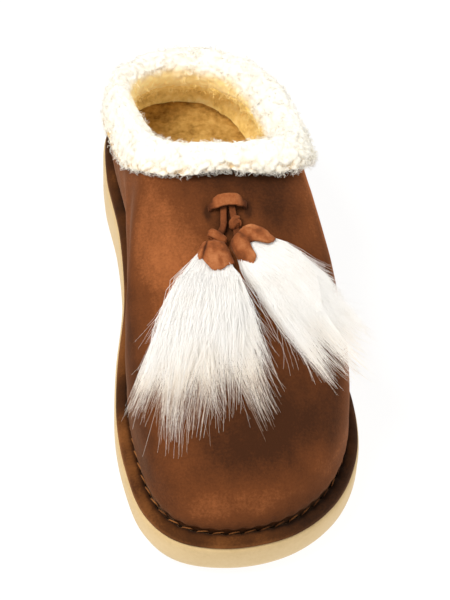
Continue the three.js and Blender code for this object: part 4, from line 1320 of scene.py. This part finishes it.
def reachCurve(row):  # full reach of the hairs, from the left of the fan to its right
    return curveThrough((0, 0.5, 1), row["reach"])


def denseCurve(row):  # how much of that reach is dense fur
    return curveThrough((0, 0.25, 0.45, 0.7, 1), row["dense"])


def furCore(row):  # soft body under the hairs, well short of their tips
    half, rows = furSet["coreColumns"], furSet["coreRows"]
    spread = np.concatenate([np.linspace(0.04, 0.96, half), np.linspace(0.96, 0.04, half)])
    layer = np.concatenate([np.full(half, furSet["coreLayer"]), np.full(half, 0.02)])
    dense = np.minimum(denseCurve(row)(spread) + furSet["coreMore"], furSet["coreMost"])
    reach = reachCurve(row)(spread) * dense
    still = np.zeros(2 * half)
    core = furPaths(row, np.tile(spread[:, None], rows), np.tile(layer[:, None], rows), reach,
                    still, still, still, rows).transpose(1, 0, 2)
    values = {"tip": np.full(core.shape[:2], 0.8), "shade": np.full(core.shape[:2], 0.7)}
    return core, gridQuads(rows, 2 * half)[:, ::-1], values


def furLocks(rng):  # where each lock lies, how far it reaches and how it bends
    count = furSet["locks"]
    spread = (np.arange(count) + rng.uniform(0.25, 0.75, count)) / count
    fromMiddle = 2 * spread - 1
    reach = rng.uniform(*furSet["lockReach"], count)
    sway = np.clip(rng.normal(0, furSet["lockSway"], count), -28, 28) * (1 - fromMiddle**2)
    sway = sway + furSet["lockSplay"] * fromMiddle
    return {"spread": spread, "reach": reach, "sway": sway, "wave": rng.normal(0, furSet["lockWave"], count)}


def drawnIn(row, paths, reach, lock, pull, locks):  # the hairs of a lock draw in to its middle line
    count, steps = furSet["locks"], furSet["axisSteps"]
    axisReach = reachCurve(row)(locks["spread"]) * locks["reach"] * furSet["axisMore"]
    layer = np.full((count, steps), furSet["axisLayer"])
    axis = furPaths(row, np.tile(locks["spread"][:, None], steps), layer, axisReach,
                    locks["sway"], np.zeros(count), locks["wave"], steps)
    goal = np.empty_like(paths)
    for i in range(count):
        own = lock == i
        away = reach[own][:, None] * furSteps(paths.shape[1]) / axisReach[i]
        for c in range(3):
            goal[own, :, c] = np.interp(away, furSteps(steps), axis[i, :, c])
    return paths + (goal - paths) * pull[..., None]


def makeFur(side):
    row = tasselRows[side]
    rng = np.random.default_rng(row["seed"])
    count, clumps, steps = furSet["hairs"], furSet["clumps"], furSet["steps"]
    share = furSteps(steps)
    clump = rng.integers(clumps, size=count)
    locks = furLocks(rng)
    clumpSpread, clumpLayer = rng.random(clumps), rng.random(clumps) ** 0.7
    clumpReach = rng.uniform(*furSet["clumpReach"], clumps)
    sway = rng.normal(0, furSet["clumpSway"], clumps)
    waveBy = rng.normal(0, furSet["clumpWave"], clumps)
    wispy = rng.random(clumps) < furSet["wispy"]
    lock = np.abs(clumpSpread[:, None] - locks["spread"]).argmin(axis=1)[clump]
    stray = rng.random(count) < furSet["stray"]
    apart = rng.normal(0, furSet["apart"], count)
    gather = 1 - furSet["gather"] * smooth(share, 0.3, 0.95)
    spread = np.clip(clumpSpread[clump][:, None] + apart[:, None] * gather, -0.03, 1.03)
    lockSpread = locks["spread"][lock][:, None]
    spread = spread + (lockSpread - spread) * furSet["toLock"] * smooth(share, 0.5, 1)
    layerApart = rng.normal(0, furSet["layerApart"], (count, 1))
    layer = np.clip(clumpLayer[clump][:, None] + layerApart * gather, 0, 1)
    fullReach, dense = reachCurve(row)(spread[:, 0]), denseCurve(row)(spread[:, 0])
    further = np.where(wispy[clump], rng.beta(1.5, 1.4, count), rng.beta(0.9, 3.4, count))
    reach = fullReach * (dense + (furSet["most"] - dense) * further)
    reach = reach * locks["reach"][lock] * clumpReach[clump]
    strayTurn = np.clip(rng.normal(0, furSet["strayTurn"], count), -24, 24)
    ownTurn = np.where(stray, strayTurn, rng.normal(0, furSet["turn"], count))
    turnBy = locks["sway"][lock] + sway[clump] + ownTurn
    liftBy = np.where(stray, rng.uniform(0, furSet["strayLift"], count), 0)
    paths = furPaths(row, spread, layer, reach, turnBy, liftBy, waveBy[clump], steps)
    pull = np.where(stray, furSet["strayPull"], furSet["pull"])[:, None] * smooth(share, 0.4, 1)
    paths = drawnIn(row, paths, reach, lock, pull, locks)
    facing = np.array([0, -0.3, 1.0]) + rng.normal(0, 0.2, (count, 1, 3))
    widths = furSet["width"] * rng.uniform(0.7, 1.2, (count, 1)) * (1 - 0.75 * share**1.5)
    points, quads = ribbons(paths, widths, np.broadcast_to(facing, paths.shape))
    brown = rng.random((count, 1)) * np.interp(spread[:, :1], (0, 0.45, 1), row["brown"])
    far = (reach / fullReach)[:, None] * share  # brown only past the dense part
    tip = 0.9 - 0.85 * brown**0.6 * smooth(far, dense[:, None] * 0.8 + 0.24, 0.98)
    tip = np.broadcast_to(tip[..., None], (count, steps, 2))
    # painted shade on the hairs lower in the fur, and darker brown tips
    shade = (0.4 + 0.6 * layer[:, :1, None]) * rng.uniform(0.8, 1, (count, 1, 1)) * np.clip(tip + 0.2, 0, 1)
    points, quads, values = joined([furCore(row), (points, quads, {"tip": tip, "shade": shade})])
    return addPiece("tassel_fur_hair_" + side, points, quads, whiteFur,
                    ["tassel_fur_" + side], values)


for tasselSide in tasselRows:
    makeCap(tasselSide)
    makeFur(tasselSide)
